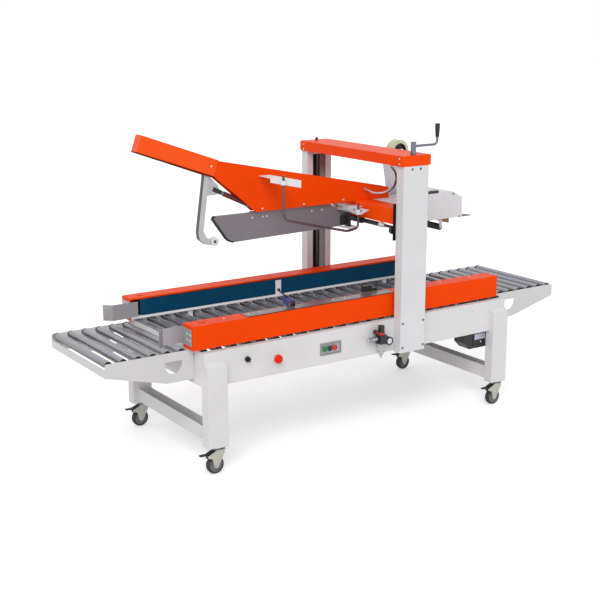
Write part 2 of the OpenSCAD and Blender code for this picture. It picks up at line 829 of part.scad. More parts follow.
module lift_chain() color(dark) translate([gantry_x, 0, chain_z]) rotate([0, 0, 90]) linear_extrude(5)
    difference() {
        loop_2d(-column_y, column_y, sprocket_r + 5);
        loop_2d(-column_y, column_y, sprocket_r + 0.4);
    }

module crank_arm() color(chrome) translate([gantry_x, -column_y, 0]) {
    bend = 20;
    difference() {
        translate([0, 0, beam_top + free]) cylinder(d = 26, h = 60);
        translate([0, 0, beam_top]) cylinder(d = journal_d + 2 * run, h = 20 + free);
    }
    bar([11, 0, crank_z], [crank_r - bend, 0, crank_z], crank_d);
    translate([crank_r - bend, 0, crank_z + bend]) rotate([-90, 0, 0])
        rotate_extrude(angle = 90) translate([bend, 0]) circle(d = crank_d);
    bar([crank_r, 0, crank_z + bend], [crank_r, 0, crank_z + 33], crank_d);
    bar([crank_r, 0, crank_z + 33], [crank_r, 0, crank_z + 28 + grip_l], crank_d - 4);
}

module crank_grip() color(dark) translate([gantry_x + crank_r, -column_y, crank_z + 33 + free])
    rotate_extrude() polygon(concat(
        [[0, grip_l], [0, grip_l - 4], [(crank_d - 4) / 2 + run, grip_l - 4], [(crank_d - 4) / 2 + run, 0]],
        [[8, 0], [9, 6], [11.5, grip_l - 18]], arc(7, grip_l - 5, 5, 20, 90)
    ));

// Head

module cross_carriage() color(orange_paint) {
    end = half_w - slide_t - 2;
    x_low = gantry_x - carriage_w / 2;
    x_high = gantry_x + carriage_w / 2;
    difference() {
        box([x_low, -end, carriage_bottom], [x_high, end, carriage_top]);
        box([x_low + 4, -end - over, carriage_bottom + 4], [x_high - 4, end + over, carriage_top - 4]);
    }
    both_sides() difference() {
        union() {
            box([x_low, -end, carriage_bottom - 45], [x_low + 34, 4 - end, carriage_top]);
            box([x_low, -end, carriage_bottom], [x_high, 4 - end, carriage_top]);
            box([gantry_x - slide_half, -end - slide_t, carriage_bottom - 66],
                [gantry_x + slide_half, -end, carriage_top + 33]);
            box([gantry_x - slot_w / 2 + 4, -half_w - column_t - 4, carriage_bottom + 8],
                [gantry_x + slot_w / 2 - 4, -end, carriage_top - 8]);
            box([gantry_x - slot_w / 2 + 4, -half_w - column_d + column_t + 2, carriage_bottom - 4],
                [gantry_x + slot_w / 2 - 4, -half_w - column_t - 2, carriage_top + 4]);
        }
        translate([gantry_x, -column_y, carriage_bottom - 10])
            cylinder(d = screw_d + 2 * run, h = carriage_h + 20);
    }
}

module head_outline() polygon([
    [head_in_x, head_in_z], [head_out_x, head_out_z], [head_out_x + 3, carriage_top],
    [head_corner_x, carriage_top], nose_point(0, 0), nose_point(0, 4), nose_point(60, 4),
    nose_point(60, nose_h - 8), nose_point(0, nose_h - 8)
]);

module head_plates() color(orange_paint) {
    both_sides() plate_xz(-head_half, -head_in) head_outline();
    box([head_corner_x + 20, -head_in, carriage_top], [head_out_x, head_in, carriage_top + head_t]);
    for (p = [[head_in_x + 90, head_in_z - 70], [-250, carriage_top + 90], [60, carriage_top + 60]])
        pin_y(p.x, p.y, pin_d + 6, -head_in, head_in);
    pin_y(kicker_x, kicker_z, pin_d, -head_in, head_in);
    pin_y(eye_x, eye_z, pin_d, -head_in, head_in);
    for (x = [-372, -43])
        box([x - 45, flap_t / 2, flap_top - 45], [x + 45, flap_t / 2 + hanger_t, carriage_top]);
}

module nose_channel() color(orange_paint) {
    both_sides() plate_xz(-head_half - nose_t, -head_half) polygon([
        nose_point(0, 0), nose_point(0, nose_h), nose_point(nose_l, nose_h), nose_point(nose_l, 0)
    ]);
    plate_xz(-head_half, head_half) polygon([
        nose_point(0, nose_h - nose_t), nose_point(0, nose_h), nose_point(nose_l, nose_h),
        nose_point(nose_l, 0), nose_point(nose_l - nose_t, 0), nose_point(nose_l - nose_t, nose_h - nose_t)
    ]);
}

module flap_plate() color(blade_grey) plate_xz(-flap_t / 2, flap_t / 2) polygon(concat(
    [[flap_in_x + 10, flap_top], [flap_in_x, flap_top - 12]],
    arc(flap_in_x + 116, flap_bottom + 60, 60, 216, 270), arc(flap_out_x - 14, flap_bottom + 28, 14, -90, 0),
    [[flap_out_x - 6, flap_top - 70], [flap_out_x - 78, flap_top - 6], [flap_out_x - 84, flap_top]]
));

// The far rod turns in higher up than the near one
module guide_rod(rise) bent_bar([
    [rod_in_x, -rod_in_y, rod_top], [rod_in_x, -rod_in_y, flap_top + 15 + rise],
    [rod_in_x + 15, -rod_in_y, flap_top - 18 + rise], [rod_out_x - 62, -rod_out_y, rod_low],
    [rod_out_x, -rod_out_y, rod_low + 11], [rod_out_x, -rod_out_y, carriage_top + 2]
], rod_d);

module guide_rods() color(chrome) {
    guide_rod(0);
    mirror([0, 1, 0]) guide_rod(far_rod_rise);
}

// Flange on the head plate, with a lip turned down in front of it and a clamp round the rod
module upper_bracket() {
    left = [rod_in_x - 26, -rod_in_y + 69];
    right = [rod_in_x + 49, -rod_in_y - 68];
    turn = atan2(right.y - left.y, right.x - left.x);
    long = norm(right - left);
    translate([0, 0, bracket_z - bracket_t]) linear_extrude(bracket_t) polygon([
        left, right, [rod_in_x + 35, -head_half], [rod_in_x - 23, -head_half]
    ]);
    translate([left.x, left.y, bracket_z]) rotate([0, 0, turn])
        plate_xz(0, bracket_t) polygon([[0, 0], [long, 0], [long, -34], [0, -21]]);
    translate([rod_in_x, -rod_in_y, bracket_z - 25]) cylinder(d = rod_d + 14, h = 20);
}

// Plate that hangs from a flange on the carriage, with a clamp round each rod
module lower_bracket() {
    face = rod_out_x + 10;
    reach = gantry_x - carriage_w / 2;
    high = carriage_top - 22;
    low = carriage_top - 56;
    translate([face, 0, 0]) rotate([90, 0, 90]) linear_extrude(bracket_t) polygon([
        [-rod_out_y - 74, high], [-rod_out_y - 4, low], [rod_out_y + 4, low], [rod_out_y + 74, high]
    ]);
    box([face, -rod_out_y + 31, high - bracket_t], [reach, rod_out_y - 31, high]);
    both_sides() translate([rod_out_x, -rod_out_y, low + 4]) cylinder(d = rod_d + 12, h = 24);
}

module rod_brackets() color(white_paint) difference() {
    union() {
        both_sides() upper_bracket();
        lower_bracket();
    }
    both_sides() {
        translate([rod_in_x, -rod_in_y, bracket_z - 60]) cylinder(d = rod_d + 2 * run, h = 80);
        translate([rod_out_x, -rod_out_y, carriage_top - 80]) cylinder(d = rod_d + 2 * run, h = 80);
    }
}

// Kicker

module kicker_arm() color(steel) {
    half = kicker_w / 2;
    difference() {
        union() {
            plate_xz(-kicker_t / 2, kicker_t / 2) {
                translate([kicker_x, kicker_z]) circle(half);
                polygon([[kicker_x - half, kicker_z], [kicker_x + half, kicker_z],
                    [elbow_x + half, elbow_z], [foot_x - 42, foot_z + 22], [foot_x - 24, foot_z + 15],
                    [foot_x - 25, foot_z - 15], [foot_x - 48, foot_z - 9], [foot_x - 80, foot_z + 16],
                    [elbow_x - half, elbow_z - 6]]);
            }
            plate_xz(kicker_t / 2 - 5, kicker_t / 2) {
                translate([foot_x, foot_z]) circle(10);
                translate([foot_x - 30, foot_z - 10]) square([30, 20]);
            }
            plate_xz(-gusset_t / 2, gusset_t / 2) {
                translate([gusset_x, gusset_z]) circle(gusset_hole_r + 6);
                polygon([[kicker_x, kicker_z - 14], [gusset_x + 20, gusset_z + 18],
                    [gusset_x - 10, gusset_z - 24], [kicker_x - 20, gusset_z - 26]]);
            }
        }
        pin_y(kicker_x, kicker_z, pin_d + 2 * run, -kicker_t, kicker_t);
        pin_y(gusset_x, gusset_z, 2 * gusset_hole_r, -gusset_t, gusset_t);
        pin_y(gusset_x, gusset_z, 2 * gusset_hole_r + 14, gusset_t / 2, kicker_t);
        pin_y(gusset_x, gusset_z, 2 * gusset_hole_r + 14, -kicker_t, -gusset_t / 2);
    }
    pin_y(foot_x, foot_z, 8, -kicker_t / 2, kicker_t / 2);
}

module kicker_roller() color(white_paint) difference() {
    pin_y(foot_x, foot_z, kicker_roller_d, -kicker_t / 2, kicker_t / 2 - 5 - free);
    pin_y(foot_x, foot_z, 8 + 2 * run, -kicker_t, kicker_t);
}

module kicker_cylinder() color(dark) difference() {
    union() {
        bar(stroke_point(18), stroke_point(150), cylinder_d);
        bar(stroke_point(0), stroke_point(20), 18);
        pin_y(eye_x, eye_z, pin_d + 14, -10, 10);
    }
    pin_y(eye_x, eye_z, pin_d + 2 * run, -20, 20);
    bar(stroke_point(28), stroke_point(160), piston_d + 2 * run);
}

module kicker_rod() color(chrome) {
    bar(stroke_point(32), stroke_point(stroke_l - 34), piston_d);
    both_sides() translate([eye_x, 0, eye_z]) rotate([0, 180 + stroke_a, 0])
        box([stroke_l - 40, -clevis_in - 5, -10], [stroke_l + 10, -clevis_in, 10]);
    translate([eye_x, 0, eye_z]) rotate([0, 180 + stroke_a, 0])
        box([stroke_l - 40, -clevis_in - 5, -10], [stroke_l - 32, clevis_in + 5, 10]);
    pin_y(gusset_x, gusset_z, 8, -clevis_in - 6, clevis_in + 6);
}

// Tape unit

module tape_case() color(white_paint) {
    step_x = case_x + 110;
    open_x = case_x + 150;
    outline = [[case_x, carriage_bottom], [case_x, carriage_top], [case_end - 66, carriage_top],
        [case_end - 4, carriage_top - 33], [case_end, case_bottom], [open_x, case_bottom],
        [step_x, carriage_bottom]];
    inside = [[case_x + case_t, carriage_bottom + case_t], [case_x + case_t, carriage_top - case_t],
        [case_end - 67, carriage_top - case_t], [case_end - 4 - case_t, carriage_top - 34],
        [case_end - case_t, case_bottom - over], [open_x + case_t, case_bottom - over],
        [step_x + case_t, carriage_bottom + case_t]];
    difference() {
        plate_xz(-case_w / 2, case_w / 2) polygon(outline);
        plate_xz(-case_in, case_in) polygon(inside);
    }
    pin_y(wipe_pivot_x, wipe_pivot_z, pin_d, -case_in, case_in);
    both_sides() plate_xz(-case_w / 2, -case_w / 2 + 20) polygon([
        [case_end - 58, case_bottom], [case_end - 58, case_bottom + case_t], [case_end, case_bottom + 14],
        [case_end + 67, case_bottom + 3], [case_end + 67, case_bottom]
    ]);
}

module wipe_arm() color(steel) {
    brush_low = wipe_x + 4;
    brush_high = wipe_x + 54;
    difference() {
        union() {
            both_sides() plate_xz(-wipe_in - 4, -wipe_in) {
                translate([wipe_pivot_x, wipe_pivot_z]) circle(14);
                translate([wipe_x, wipe_z]) circle(8);
                polygon([[wipe_pivot_x - 4, wipe_pivot_z - 12], [wipe_x - 8, case_bottom + 2],
                    [wipe_x - 8, wipe_z], [wipe_x + 8, wipe_z], [wipe_x + 8, case_bottom + 24],
                    [wipe_pivot_x + 4, wipe_pivot_z + 12]]);
            }
            pin_y((wipe_pivot_x + wipe_x) / 2, (wipe_pivot_z + case_bottom + 15) / 2, 12, -wipe_in, wipe_in);
            plate_xz(-wipe_in - 4, wipe_in + 4) polygon([[brush_low, case_bottom + 6],
                [brush_low, case_bottom - 9], [brush_high, case_bottom - 27], [brush_high, case_bottom + 6]]);
        }
        pin_y(wipe_pivot_x, wipe_pivot_z, pin_d + 2 * run, -case_w, case_w);
    }
    pin_y(wipe_x, wipe_z, 10, -wipe_in - 6, wipe_in + 6);
}

module wipe_roller() color(dark) difference() {
    pin_y(wipe_x, wipe_z, wipe_d, -wipe_w / 2, wipe_w / 2);
    pin_y(wipe_x, wipe_z, 10 + 2 * run, -wipe_w, wipe_w);
}

module tape_mast() color(steel) {
    plate_xz(mast_y, mast_y + mast_t) {
        polygon([[tape_x - 28, carriage_top], [tape_x + 82, carriage_top], [tape_x + 92, tape_z - 56],
            [tape_x + 42, tape_z], [tape_x - 42, tape_z], [tape_x - 63, tape_z - 66],
            [tape_x - 43, tape_z - 176]]);
        translate([tape_x, tape_z]) circle(42);
    }
    box([tape_x - 28, mast_y, carriage_top], [tape_x + 82, mast_y + 26, carriage_top + 4]);
    pin_y(tape_x, tape_z, spindle_d, -tape_w / 2 - 8, mast_y);
}

module tape_roll() color([0.82, 0.66, 0.45]) {
    difference() {
        pin_y(tape_x, tape_z, tape_d, -tape_w / 2, tape_w / 2);
        pin_y(tape_x, tape_z, tape_core_d, -tape_w, tape_w);
    }
    difference() {
        pin_y(tape_x, tape_z, tape_core_d, -tape_w / 2 + 2, tape_w / 2 - 2);
        pin_y(tape_x, tape_z, spindle_d + 2 * run, -tape_w, tape_w);
    }
}

// Rings of a round tube along a route, each square to the route there and the end ones to given ways
function tangent(route, i, from, to) =
    i == 0 ? from : i == len(route) - 1 ? to :
    let (v = route[i + 1] - route[i - 1]) v / norm(v);
function ring(at, t, r, n) =
    let (a = cross(t, [1, 0, 0]), u = a / norm(a), w = cross(t, u))
    [for (k = [0 : n - 1]) at + r * (cos(360 * k / n) * u + sin(360 * k / n) * w)];

module tube(route, d, from, to, n = 10) {
    last = len(route) - 1;
    points = [for (i = [0 : last]) each ring(route[i], tangent(route, i, from, to), d / 2, n)];
    walls = [for (i = [0 : last - 1], k = [0 : n - 1])
        [i * n + k, i * n + (k + 1) % n, (i + 1) * n + (k + 1) % n, (i + 1) * n + k]];
    first_cap = [for (k = [0 : n - 1]) n - 1 - k];
    last_cap = [for (k = [0 : n - 1]) last * n + k];
    polyhedron(points, concat(walls, [first_cap, last_cap]));
}

module flex_conduit() color(chrome) tube(conduit_route, conduit_d, [0, 0, -1], [0, 1, 0]);

// Controls on the near side plate

module collar(x, z, d, bore) difference() {
    pin_y(x, z, d, -half_w - station_t - 5, -half_w);
    pin_y(x, z, bore + 2 * run, -half_w - 20, over - half_w);
}

module control_station() color(steel) {
    difference() {
        union() {
            box([station_x - 52, -half_w - station_t, button_z - 30],
                [station_x + 65, -half_w, button_z + 28]);
            for (i = [-1 : 1])
                pin_y(station_x + i * button_pitch, button_z, button_d + 7, -half_w - station_t - 4, -half_w);
        }
        for (i = [-1 : 1])
            pin_y(station_x + i * button_pitch, button_z, button_d + 2 * run, -half_w - 20, over - half_w);
    }
    collar(estop_x, estop_z, estop_d + 2, button_d);
    collar(selector_x, selector_z, 26, pin_d);
}

module push_button(x) {
    pin_y(x, button_z, button_d, -half_w - 13, -stem_in);
    pin_y(x, button_z, button_d + 5, -plate_in + free, -stem_in);
}

module green_button() color([0.05, 0.5, 0.2]) push_button(station_x - button_pitch);
module black_button() color(dark) push_button(station_x);
module red_button() color([0.75, 0.05, 0.05]) push_button(station_x + button_pitch);

module estop_button() color([0.8, 0.05, 0.05]) {
    translate([estop_x, -half_w - 16, estop_z]) rotate([90, 0, 0]) rotate_extrude() polygon(concat(
        [[0, 0], [estop_d / 2 - 3, 0], [estop_d / 2, 3]], arc(estop_d / 2 - 8, 10, 8, 0, 90), [[0, 18]]
    ));
    pin_y(estop_x, estop_z, button_d, -half_w - 16 - over, -stem_in);
    pin_y(estop_x, estop_z, button_d + 5, -plate_in + free, -stem_in);
}

module selector_knob() color(dark) {
    front = -half_w - station_t - 5 - free;
    pin_y(selector_x, selector_z, 22, front - 4, front);
    translate([selector_x, 0, selector_z]) rotate([0, 25, 0]) box([-5, front - 14, -9], [5, front - 2, 9]);
    pin_y(selector_x, selector_z, pin_d, front - over, -stem_in);
}

module air_regulator() color(dark) translate([regulator_x, -regulator_y, regulator_z]) {
    box([-18, -20, 0], [18, 20, 43]);
    box([-12, 20, 9], [12, regulator_y - half_w, 34]);
    translate([0, 0, 43]) cylinder(d = 34, h = 11);
    translate([0, 0, 43]) cylinder(d = pin_d, h = 30);
    bar([16, 0, 8], [gauge_d / 2 + 18, 0, 8], 10);
    pin_y(gauge_d / 2 + 20, 8, gauge_d, -14, 8);
    bar([-17, 0, 26], [-52, 0, 26], 18);
    bar([-50, 0, 26], [-83, 0, 26], 12);
}

module regulator_knob() color(dark) translate([regulator_x, -regulator_y, regulator_z + 54 + free])
    difference() {
        cylinder(d = 30, h = 32);
        translate([0, 0, -over]) cylinder(d = pin_d + 2 * run, h = 26);
    }

module regulator_bowl() color([0.8, 0.84, 0.86]) translate([regulator_x, -regulator_y, regulator_z]) {
    translate([0, 0, -43]) cylinder(d = 34, h = 43);
    translate([0, 0, -74]) cylinder(d = 9, h = 32);
}

main_frame();
leg_frames();
end_tables();
conveyor_rollers();
guide_shafts();
fork_near_in();
fork_near_out();
fork_far_in();
fork_far_out();
wheel_near_in();
wheel_near_out();
wheel_far_in();
wheel_far_out();
near_carrier();
near_cover();
near_belt();
near_drive();
near_idler();
near_motor();
far_carrier();
far_cover();
far_belt();
far_drive();
far_idler();
far_motor();
carton_sensors();
switch_lever();
near_column();
far_column();
top_beam();
near_screw();
far_screw();
crank_arm();
crank_grip();
lift_chain();
cross_carriage();
head_plates();
nose_channel();
flap_plate();
guide_rods();
rod_brackets();
kicker_arm();
kicker_roller();
kicker_cylinder();
kicker_rod();
tape_case();
wipe_arm();
wipe_roller();
tape_mast();
tape_roll();
flex_conduit();
control_station();
green_button();
black_button();
red_button();
estop_button();
selector_knob();
air_regulator();
regulator_knob();
regulator_bowl();
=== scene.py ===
import math

import bmesh
import bpy
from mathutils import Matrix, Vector


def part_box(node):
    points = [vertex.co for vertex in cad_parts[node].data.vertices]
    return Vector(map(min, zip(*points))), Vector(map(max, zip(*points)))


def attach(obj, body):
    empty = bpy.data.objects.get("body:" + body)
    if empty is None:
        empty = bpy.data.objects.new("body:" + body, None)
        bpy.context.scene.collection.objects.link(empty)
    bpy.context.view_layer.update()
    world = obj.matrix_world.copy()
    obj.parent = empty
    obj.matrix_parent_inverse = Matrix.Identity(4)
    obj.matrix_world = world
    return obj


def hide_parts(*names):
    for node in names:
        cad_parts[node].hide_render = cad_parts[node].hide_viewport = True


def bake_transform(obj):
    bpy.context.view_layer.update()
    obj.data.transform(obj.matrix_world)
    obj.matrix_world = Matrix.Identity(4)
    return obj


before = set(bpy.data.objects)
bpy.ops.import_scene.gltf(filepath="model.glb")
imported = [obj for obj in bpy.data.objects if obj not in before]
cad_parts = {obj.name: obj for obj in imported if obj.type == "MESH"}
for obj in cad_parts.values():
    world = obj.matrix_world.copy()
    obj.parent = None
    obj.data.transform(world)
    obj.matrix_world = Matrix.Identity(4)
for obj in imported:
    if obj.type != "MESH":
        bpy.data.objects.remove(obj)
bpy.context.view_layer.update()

# Studio
# A wide pale floor under an even white sky, with one soft lamp over the viewer's left shoulder.
# The sky shows as plain white to the eye and in gloss, and lights the machine at a lower, plain level.


def srgb(red, green, blue):
    """The linear colour of an 8-bit screen colour."""
    def linear(part):
        share = part / 255
        return share / 12.92 if share <= 0.04045 else ((share + 0.055) / 1.055) ** 2.4
    return (linear(red), linear(green), linear(blue), 1.0)


def seen_directly(tree):
    """1 for rays that look straight at a surface or see it in gloss or glass, else 0."""
    path = tree.nodes.new("ShaderNodeLightPath")
    total = path.outputs["Is Camera Ray"]
    for kind in ("Is Glossy Ray", "Is Transmission Ray"):
        either = tree.nodes.new("ShaderNodeMath")
        either.operation = "MAXIMUM"
        tree.links.new(total, either.inputs[0])
        tree.links.new(path.outputs[kind], either.inputs[1])
        total = either.outputs[0]
    return total


sky_light = 0.62
sky = bpy.data.worlds.new("studio_sky")
bpy.context.scene.world = sky
sky.use_nodes = True
sky_shade = sky.node_tree.nodes["Background"]
sky_shade.inputs["Color"].default_value = (1.0, 1.0, 1.0, 1.0)
sky_level = sky.node_tree.nodes.new("ShaderNodeMapRange")
sky_level.inputs["To Min"].default_value = sky_light
sky_level.inputs["To Max"].default_value = 1.0
sky.node_tree.links.new(seen_directly(sky.node_tree), sky_level.inputs["Value"])
sky.node_tree.links.new(sky_level.outputs["Result"], sky_shade.inputs["Strength"])

lamp_strength = 1.5
lamp_width = math.radians(36)
lamp_from = Vector((-0.50, -0.62, 0.66))
lamp = bpy.data.objects.new("soft_lamp", bpy.data.lights.new("soft_lamp", "SUN"))
lamp.data.energy = lamp_strength
lamp.data.angle = lamp_width
lamp.rotation_euler = lamp_from.to_track_quat("Z", "Y").to_euler()
bpy.context.scene.collection.objects.link(lamp)

floor_reach = 40.0
floor_grey = (0.9, 0.9, 0.9, 1.0)
floor_glow = 0.36
floor_mesh = bpy.data.meshes.new("floor")
floor_form = bmesh.new()
bmesh.ops.create_circle(floor_form, cap_ends=True, segments=96, radius=floor_reach)
floor_form.to_mesh(floor_mesh)
floor_form.free()
floor = bpy.data.objects.new("floor", floor_mesh)
bpy.context.scene.collection.objects.link(floor)
floor_look = bpy.data.materials.new("studio_floor")
floor_look.use_nodes = True
floor_shade = floor_look.node_tree.nodes["Principled BSDF"]
floor_shade.inputs["Base Color"].default_value = floor_grey
floor_shade.inputs["Roughness"].default_value = 1.0
floor_shade.inputs["Specular IOR Level"].default_value = 0.0
floor_shade.inputs["Emission Color"].default_value = (1.0, 1.0, 1.0, 1.0)
floor_lift = floor_look.node_tree.nodes.new("ShaderNodeMath")
floor_lift.operation = "MULTIPLY"
floor_lift.inputs[1].default_value = floor_glow
floor_look.node_tree.links.new(seen_directly(floor_look.node_tree), floor_lift.inputs[0])
floor_look.node_tree.links.new(floor_lift.outputs[0], floor_shade.inputs["Emission Strength"])
floor_mesh.materials.append(floor_look)

camera = bpy.data.objects.new("camera", bpy.data.cameras.new("camera"))
camera.data.lens = 68.84
camera.data.sensor_width = 36.0
camera.location = (-3.19595, -4.50480, 1.97407)
camera.rotation_euler = (math.radians(75.979), 0.0, math.radians(-34.177))
bpy.context.scene.collection.objects.link(camera)
bpy.context.scene.camera = camera
bpy.context.scene.view_settings.view_transform = "Standard"

# Side frame
# Two long pressed steel plates with turned-in edges carry everything else. They are powder coated
# off-white, with the fine orange peel of a baked coat, and plated screws hold the cross members.


def finish(name, colour, rough, metal=0.0, mottle=0.04, broad=5.0, grain=700.0, depth=0.00003,
           soft=0.0012, stretch=(1.0, 1.0, 1.0), shine=0.5):
    """A surface with cloudy colour, uneven gloss, a fine grain and edges worn soft."""
    look = bpy.data.materials.new(name)
    look.use_nodes = True
    tree = look.node_tree
    shader = tree.nodes["Principled BSDF"]
    place = tree.nodes.new("ShaderNodeTexCoord")
    spread = tree.nodes.new("ShaderNodeMapping")
    spread.inputs["Scale"].default_value = stretch
    tree.links.new(place.outputs["Object"], spread.inputs["Vector"])

    def noise(scale, detail):
        cloud = tree.nodes.new("ShaderNodeTexNoise")
        cloud.inputs["Scale"].default_value = scale
        cloud.inputs["Detail"].default_value = detail
        tree.links.new(spread.outputs["Vector"], cloud.inputs["Vector"])
        return cloud.outputs["Fac"]

    tint = tree.nodes.new("ShaderNodeMix")
    tint.data_type = "RGBA"
    tint.inputs[6].default_value = tuple(c * (1 - 2 * mottle) for c in colour[:3]) + (1.0,)
    tint.inputs[7].default_value = tuple(min(1.0, c * (1 + 2 * mottle)) for c in colour[:3]) + (1.0,)
    tree.links.new(noise(broad, 4.0), tint.inputs[0])
    tree.links.new(tint.outputs[2], shader.inputs["Base Color"])
    gloss = tree.nodes.new("ShaderNodeMapRange")
    gloss.inputs["From Min"].default_value = 0.3
    gloss.inputs["From Max"].default_value = 0.7
    gloss.inputs["To Min"].default_value = rough - 0.05
    gloss.inputs["To Max"].default_value = rough + 0.07
    tree.links.new(noise(broad * 7, 3.0), gloss.inputs["Value"])
    tree.links.new(gloss.outputs["Result"], shader.inputs["Roughness"])
    shader.inputs["Metallic"].default_value = metal
    shader.inputs["Specular IOR Level"].default_value = shine
    edge = tree.nodes.new("ShaderNodeBevel")
    edge.samples = 4
    edge.inputs["Radius"].default_value = soft
    relief = tree.nodes.new("ShaderNodeBump")
    relief.inputs["Strength"].default_value = 0.4
    relief.inputs["Distance"].default_value = depth
    tree.links.new(noise(grain, 2.0), relief.inputs["Height"])
    tree.links.new(edge.outputs["Normal"], relief.inputs["Normal"])
    tree.links.new(relief.outputs["Normal"], shader.inputs["Normal"])
    return look


def coat(look, *names):
    """Gives CAD nodes their finish."""
    for name in names:
        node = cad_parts[name]
        node.data.materials.clear()
        node.data.materials.append(look)


def turned(form, profile, at, along, steps=28):
    """Turns (run along the axis, radius) pairs about an axis through a point."""
    axis = Vector(along).normalized()
    side = axis.orthogonal().normalized()
    other = axis.cross(side)
    rings = []
    for run, radius in profile:
        middle = Vector(at) + axis * run
        if radius < 1e-6:
            rings.append([form.verts.new(middle)] * steps)
            continue
        angles = [2 * math.pi * k / steps for k in range(steps)]
        rings.append([form.verts.new(middle + radius * (side * math.cos(a) + other * math.sin(a)))
                      for a in angles])
    faces = []
    for low, high in zip(rings, rings[1:]):
        for k in range(steps):
            n = (k + 1) % steps
            corners = list(dict.fromkeys((low[k], low[n], high[n], high[k])))
            if len(corners) > 2:
                faces.append(form.faces.new(corners))
    bmesh.ops.recalc_face_normals(form, faces=faces)


def piece(name, form, look, body, crisp=35):
    """Turns a form into a piece of the machine that moves with a body."""
    mesh = bpy.data.meshes.new(name)
    form.to_mesh(mesh)
    form.free()
    mesh.shade_smooth()
    mesh.set_sharp_from_angle(angle=math.radians(crisp))
    mesh.materials.append(look)
    made = bpy.data.objects.new(name, mesh)
    bpy.context.scene.collection.objects.link(made)
    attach(made, body)
    return made


def screws(name, places, facing, radius, body, look):
    """Round screw heads with a hexagon socket, all of one size and one way."""
    form = bmesh.new()
    for place in places:
        turned(form, [(-radius * 0.2, radius), (radius * 0.45, radius), (radius * 0.7, radius * 0.8),
                      (radius * 0.7, radius * 0.5)], place, facing, 18)
        turned(form, [(radius * 0.7, radius * 0.5), (radius * 0.25, radius * 0.46),
                      (radius * 0.25, 0.0)], place, facing, 6)
    piece(name, form, look, body)


white = finish("powder_white", srgb(218, 217, 218), 0.42, shine=0.35)
coat(white, "main_frame")
bright = finish("screw_zinc", srgb(214, 214, 216), 0.3, metal=0.7, grain=1500.0)
plate_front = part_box("main_frame")[0].y
screw_r = 0.005
screws("side_screws", [(0.664, plate_front, 0.520), (0.666, plate_front, 0.468)],
       (0, -1, 0), screw_r, "frame", bright)

# Leg frames
# Welded legs of folded sheet with a channel bar across each end, powder coated like the side frame.
# A plated caster plate with its king pin is bolted under each leg.


def where(tree, x=None, y=None, z=None, mirror="", facing=None):
    """A mask that is 1 inside ranges of the rest position, with the axes in mirror taken without sign.
    Facing is an axis and a range of the surface's own direction along it."""
    place = tree.nodes.new("ShaderNodeTexCoord")
    parts = tree.nodes.new("ShaderNodeSeparateXYZ")
    tree.links.new(place.outputs["Object"], parts.inputs[0])
    ranges = (("X", x), ("Y", y), ("Z", z))
    tests = [(parts.outputs[axis], axis, limits) for axis, limits in ranges if limits]
    if facing:
        looks = tree.nodes.new("ShaderNodeSeparateXYZ")
        tree.links.new(place.outputs["Normal"], looks.inputs[0])
        tests.append((looks.outputs[facing[0]], "facing", facing[1:]))
    mask = None
    for value, axis, limits in tests:
        if axis.lower() in mirror:
            size = tree.nodes.new("ShaderNodeMath")
            size.operation = "ABSOLUTE"
            tree.links.new(value, size.inputs[0])
            value = size.outputs[0]
        for operation, limit in (("GREATER_THAN", limits[0]), ("LESS_THAN", limits[1])):
            test = tree.nodes.new("ShaderNodeMath")
            test.operation = operation
            test.inputs[1].default_value = limit
            tree.links.new(value, test.inputs[0])
            if mask is None:
                mask = test.outputs[0]
                continue
            both = tree.nodes.new("ShaderNodeMath")
            both.operation = "MULTIPLY"
            tree.links.new(mask, both.inputs[0])
            tree.links.new(test.outputs[0], both.inputs[1])
            mask = both.outputs[0]
    return mask


def patch(look, colour, rough, metal, **place):
    """Lays another finish over the part of a surface that where() picks out."""
    tree = look.node_tree
    shader = tree.nodes["Principled BSDF"]
    mask = where(tree, **place)
    under = shader.inputs["Base Color"].links[0].from_socket
    over = tree.nodes.new("ShaderNodeMix")
    over.data_type = "RGBA"
    tree.links.new(mask, over.inputs[0])
    tree.links.new(under, over.inputs[6])
    over.inputs[7].default_value = colour
    tree.links.new(over.outputs[2], shader.inputs["Base Color"])
    for socket, value in (("Roughness", rough), ("Metallic", metal)):
        target = shader.inputs[socket]
        blend = tree.nodes.new("ShaderNodeMix")
        tree.links.new(mask, blend.inputs[0])
        if target.links:
            tree.links.new(target.links[0].from_socket, blend.inputs[2])
        else:
            blend.inputs[2].default_value = target.default_value
        blend.inputs[3].default_value = value
        tree.links.new(blend.outputs[0], target)


leg_white = finish("leg_white", srgb(217, 216, 217), 0.42, shine=0.35)
caster_plate_top = 0.125
patch(leg_white, srgb(190, 192, 196), 0.3, 1.0, z=(-1.0, caster_plate_top))
coat(leg_white, "leg_frames")

# Casters
# Pressed zinc forks swivel on a ball race under a black dust ring. Each wheel is a grey nylon hub with
# a dark rubber tread moulded on, and a black lever with a brake shoe bears on it.

fork_look = finish("fork_zinc", srgb(176, 176, 166), 0.34, metal=0.55, mottle=0.08, broad=40.0)
lever_black = srgb(22, 22, 24)
brake_levers = ((-0.95, -0.8322), (0.70, 0.8318))
dust_ring = (0.1126, 0.1215)
for lever in brake_levers:
    patch(fork_look, lever_black, 0.5, 0.0, x=lever, y=(0.3575, 0.3785), z=(0.068, 0.1082), mirror="y")
patch(fork_look, srgb(40, 40, 42), 0.5, 0.0, z=dust_ring)
tread_look = finish("tread_rubber", srgb(44, 43, 45), 0.7, mottle=0.08, broad=60.0, depth=0.0001)
hub_look = finish("hub_nylon", srgb(112, 110, 116), 0.5, mottle=0.06, broad=50.0)
black_plastic = finish("black_plastic", srgb(26, 26, 28), 0.42, mottle=0.06, broad=60.0)
wheel_r = 0.041
tread_half = 0.0125
tread_in = wheel_r - 0.010
shoulder_r = wheel_r - 0.0035
crown_r = wheel_r - 0.0002
spoke_r, spoke_l, spoke_in = 0.0022, 0.0135, 0.0135
spoke_out = 0.0088
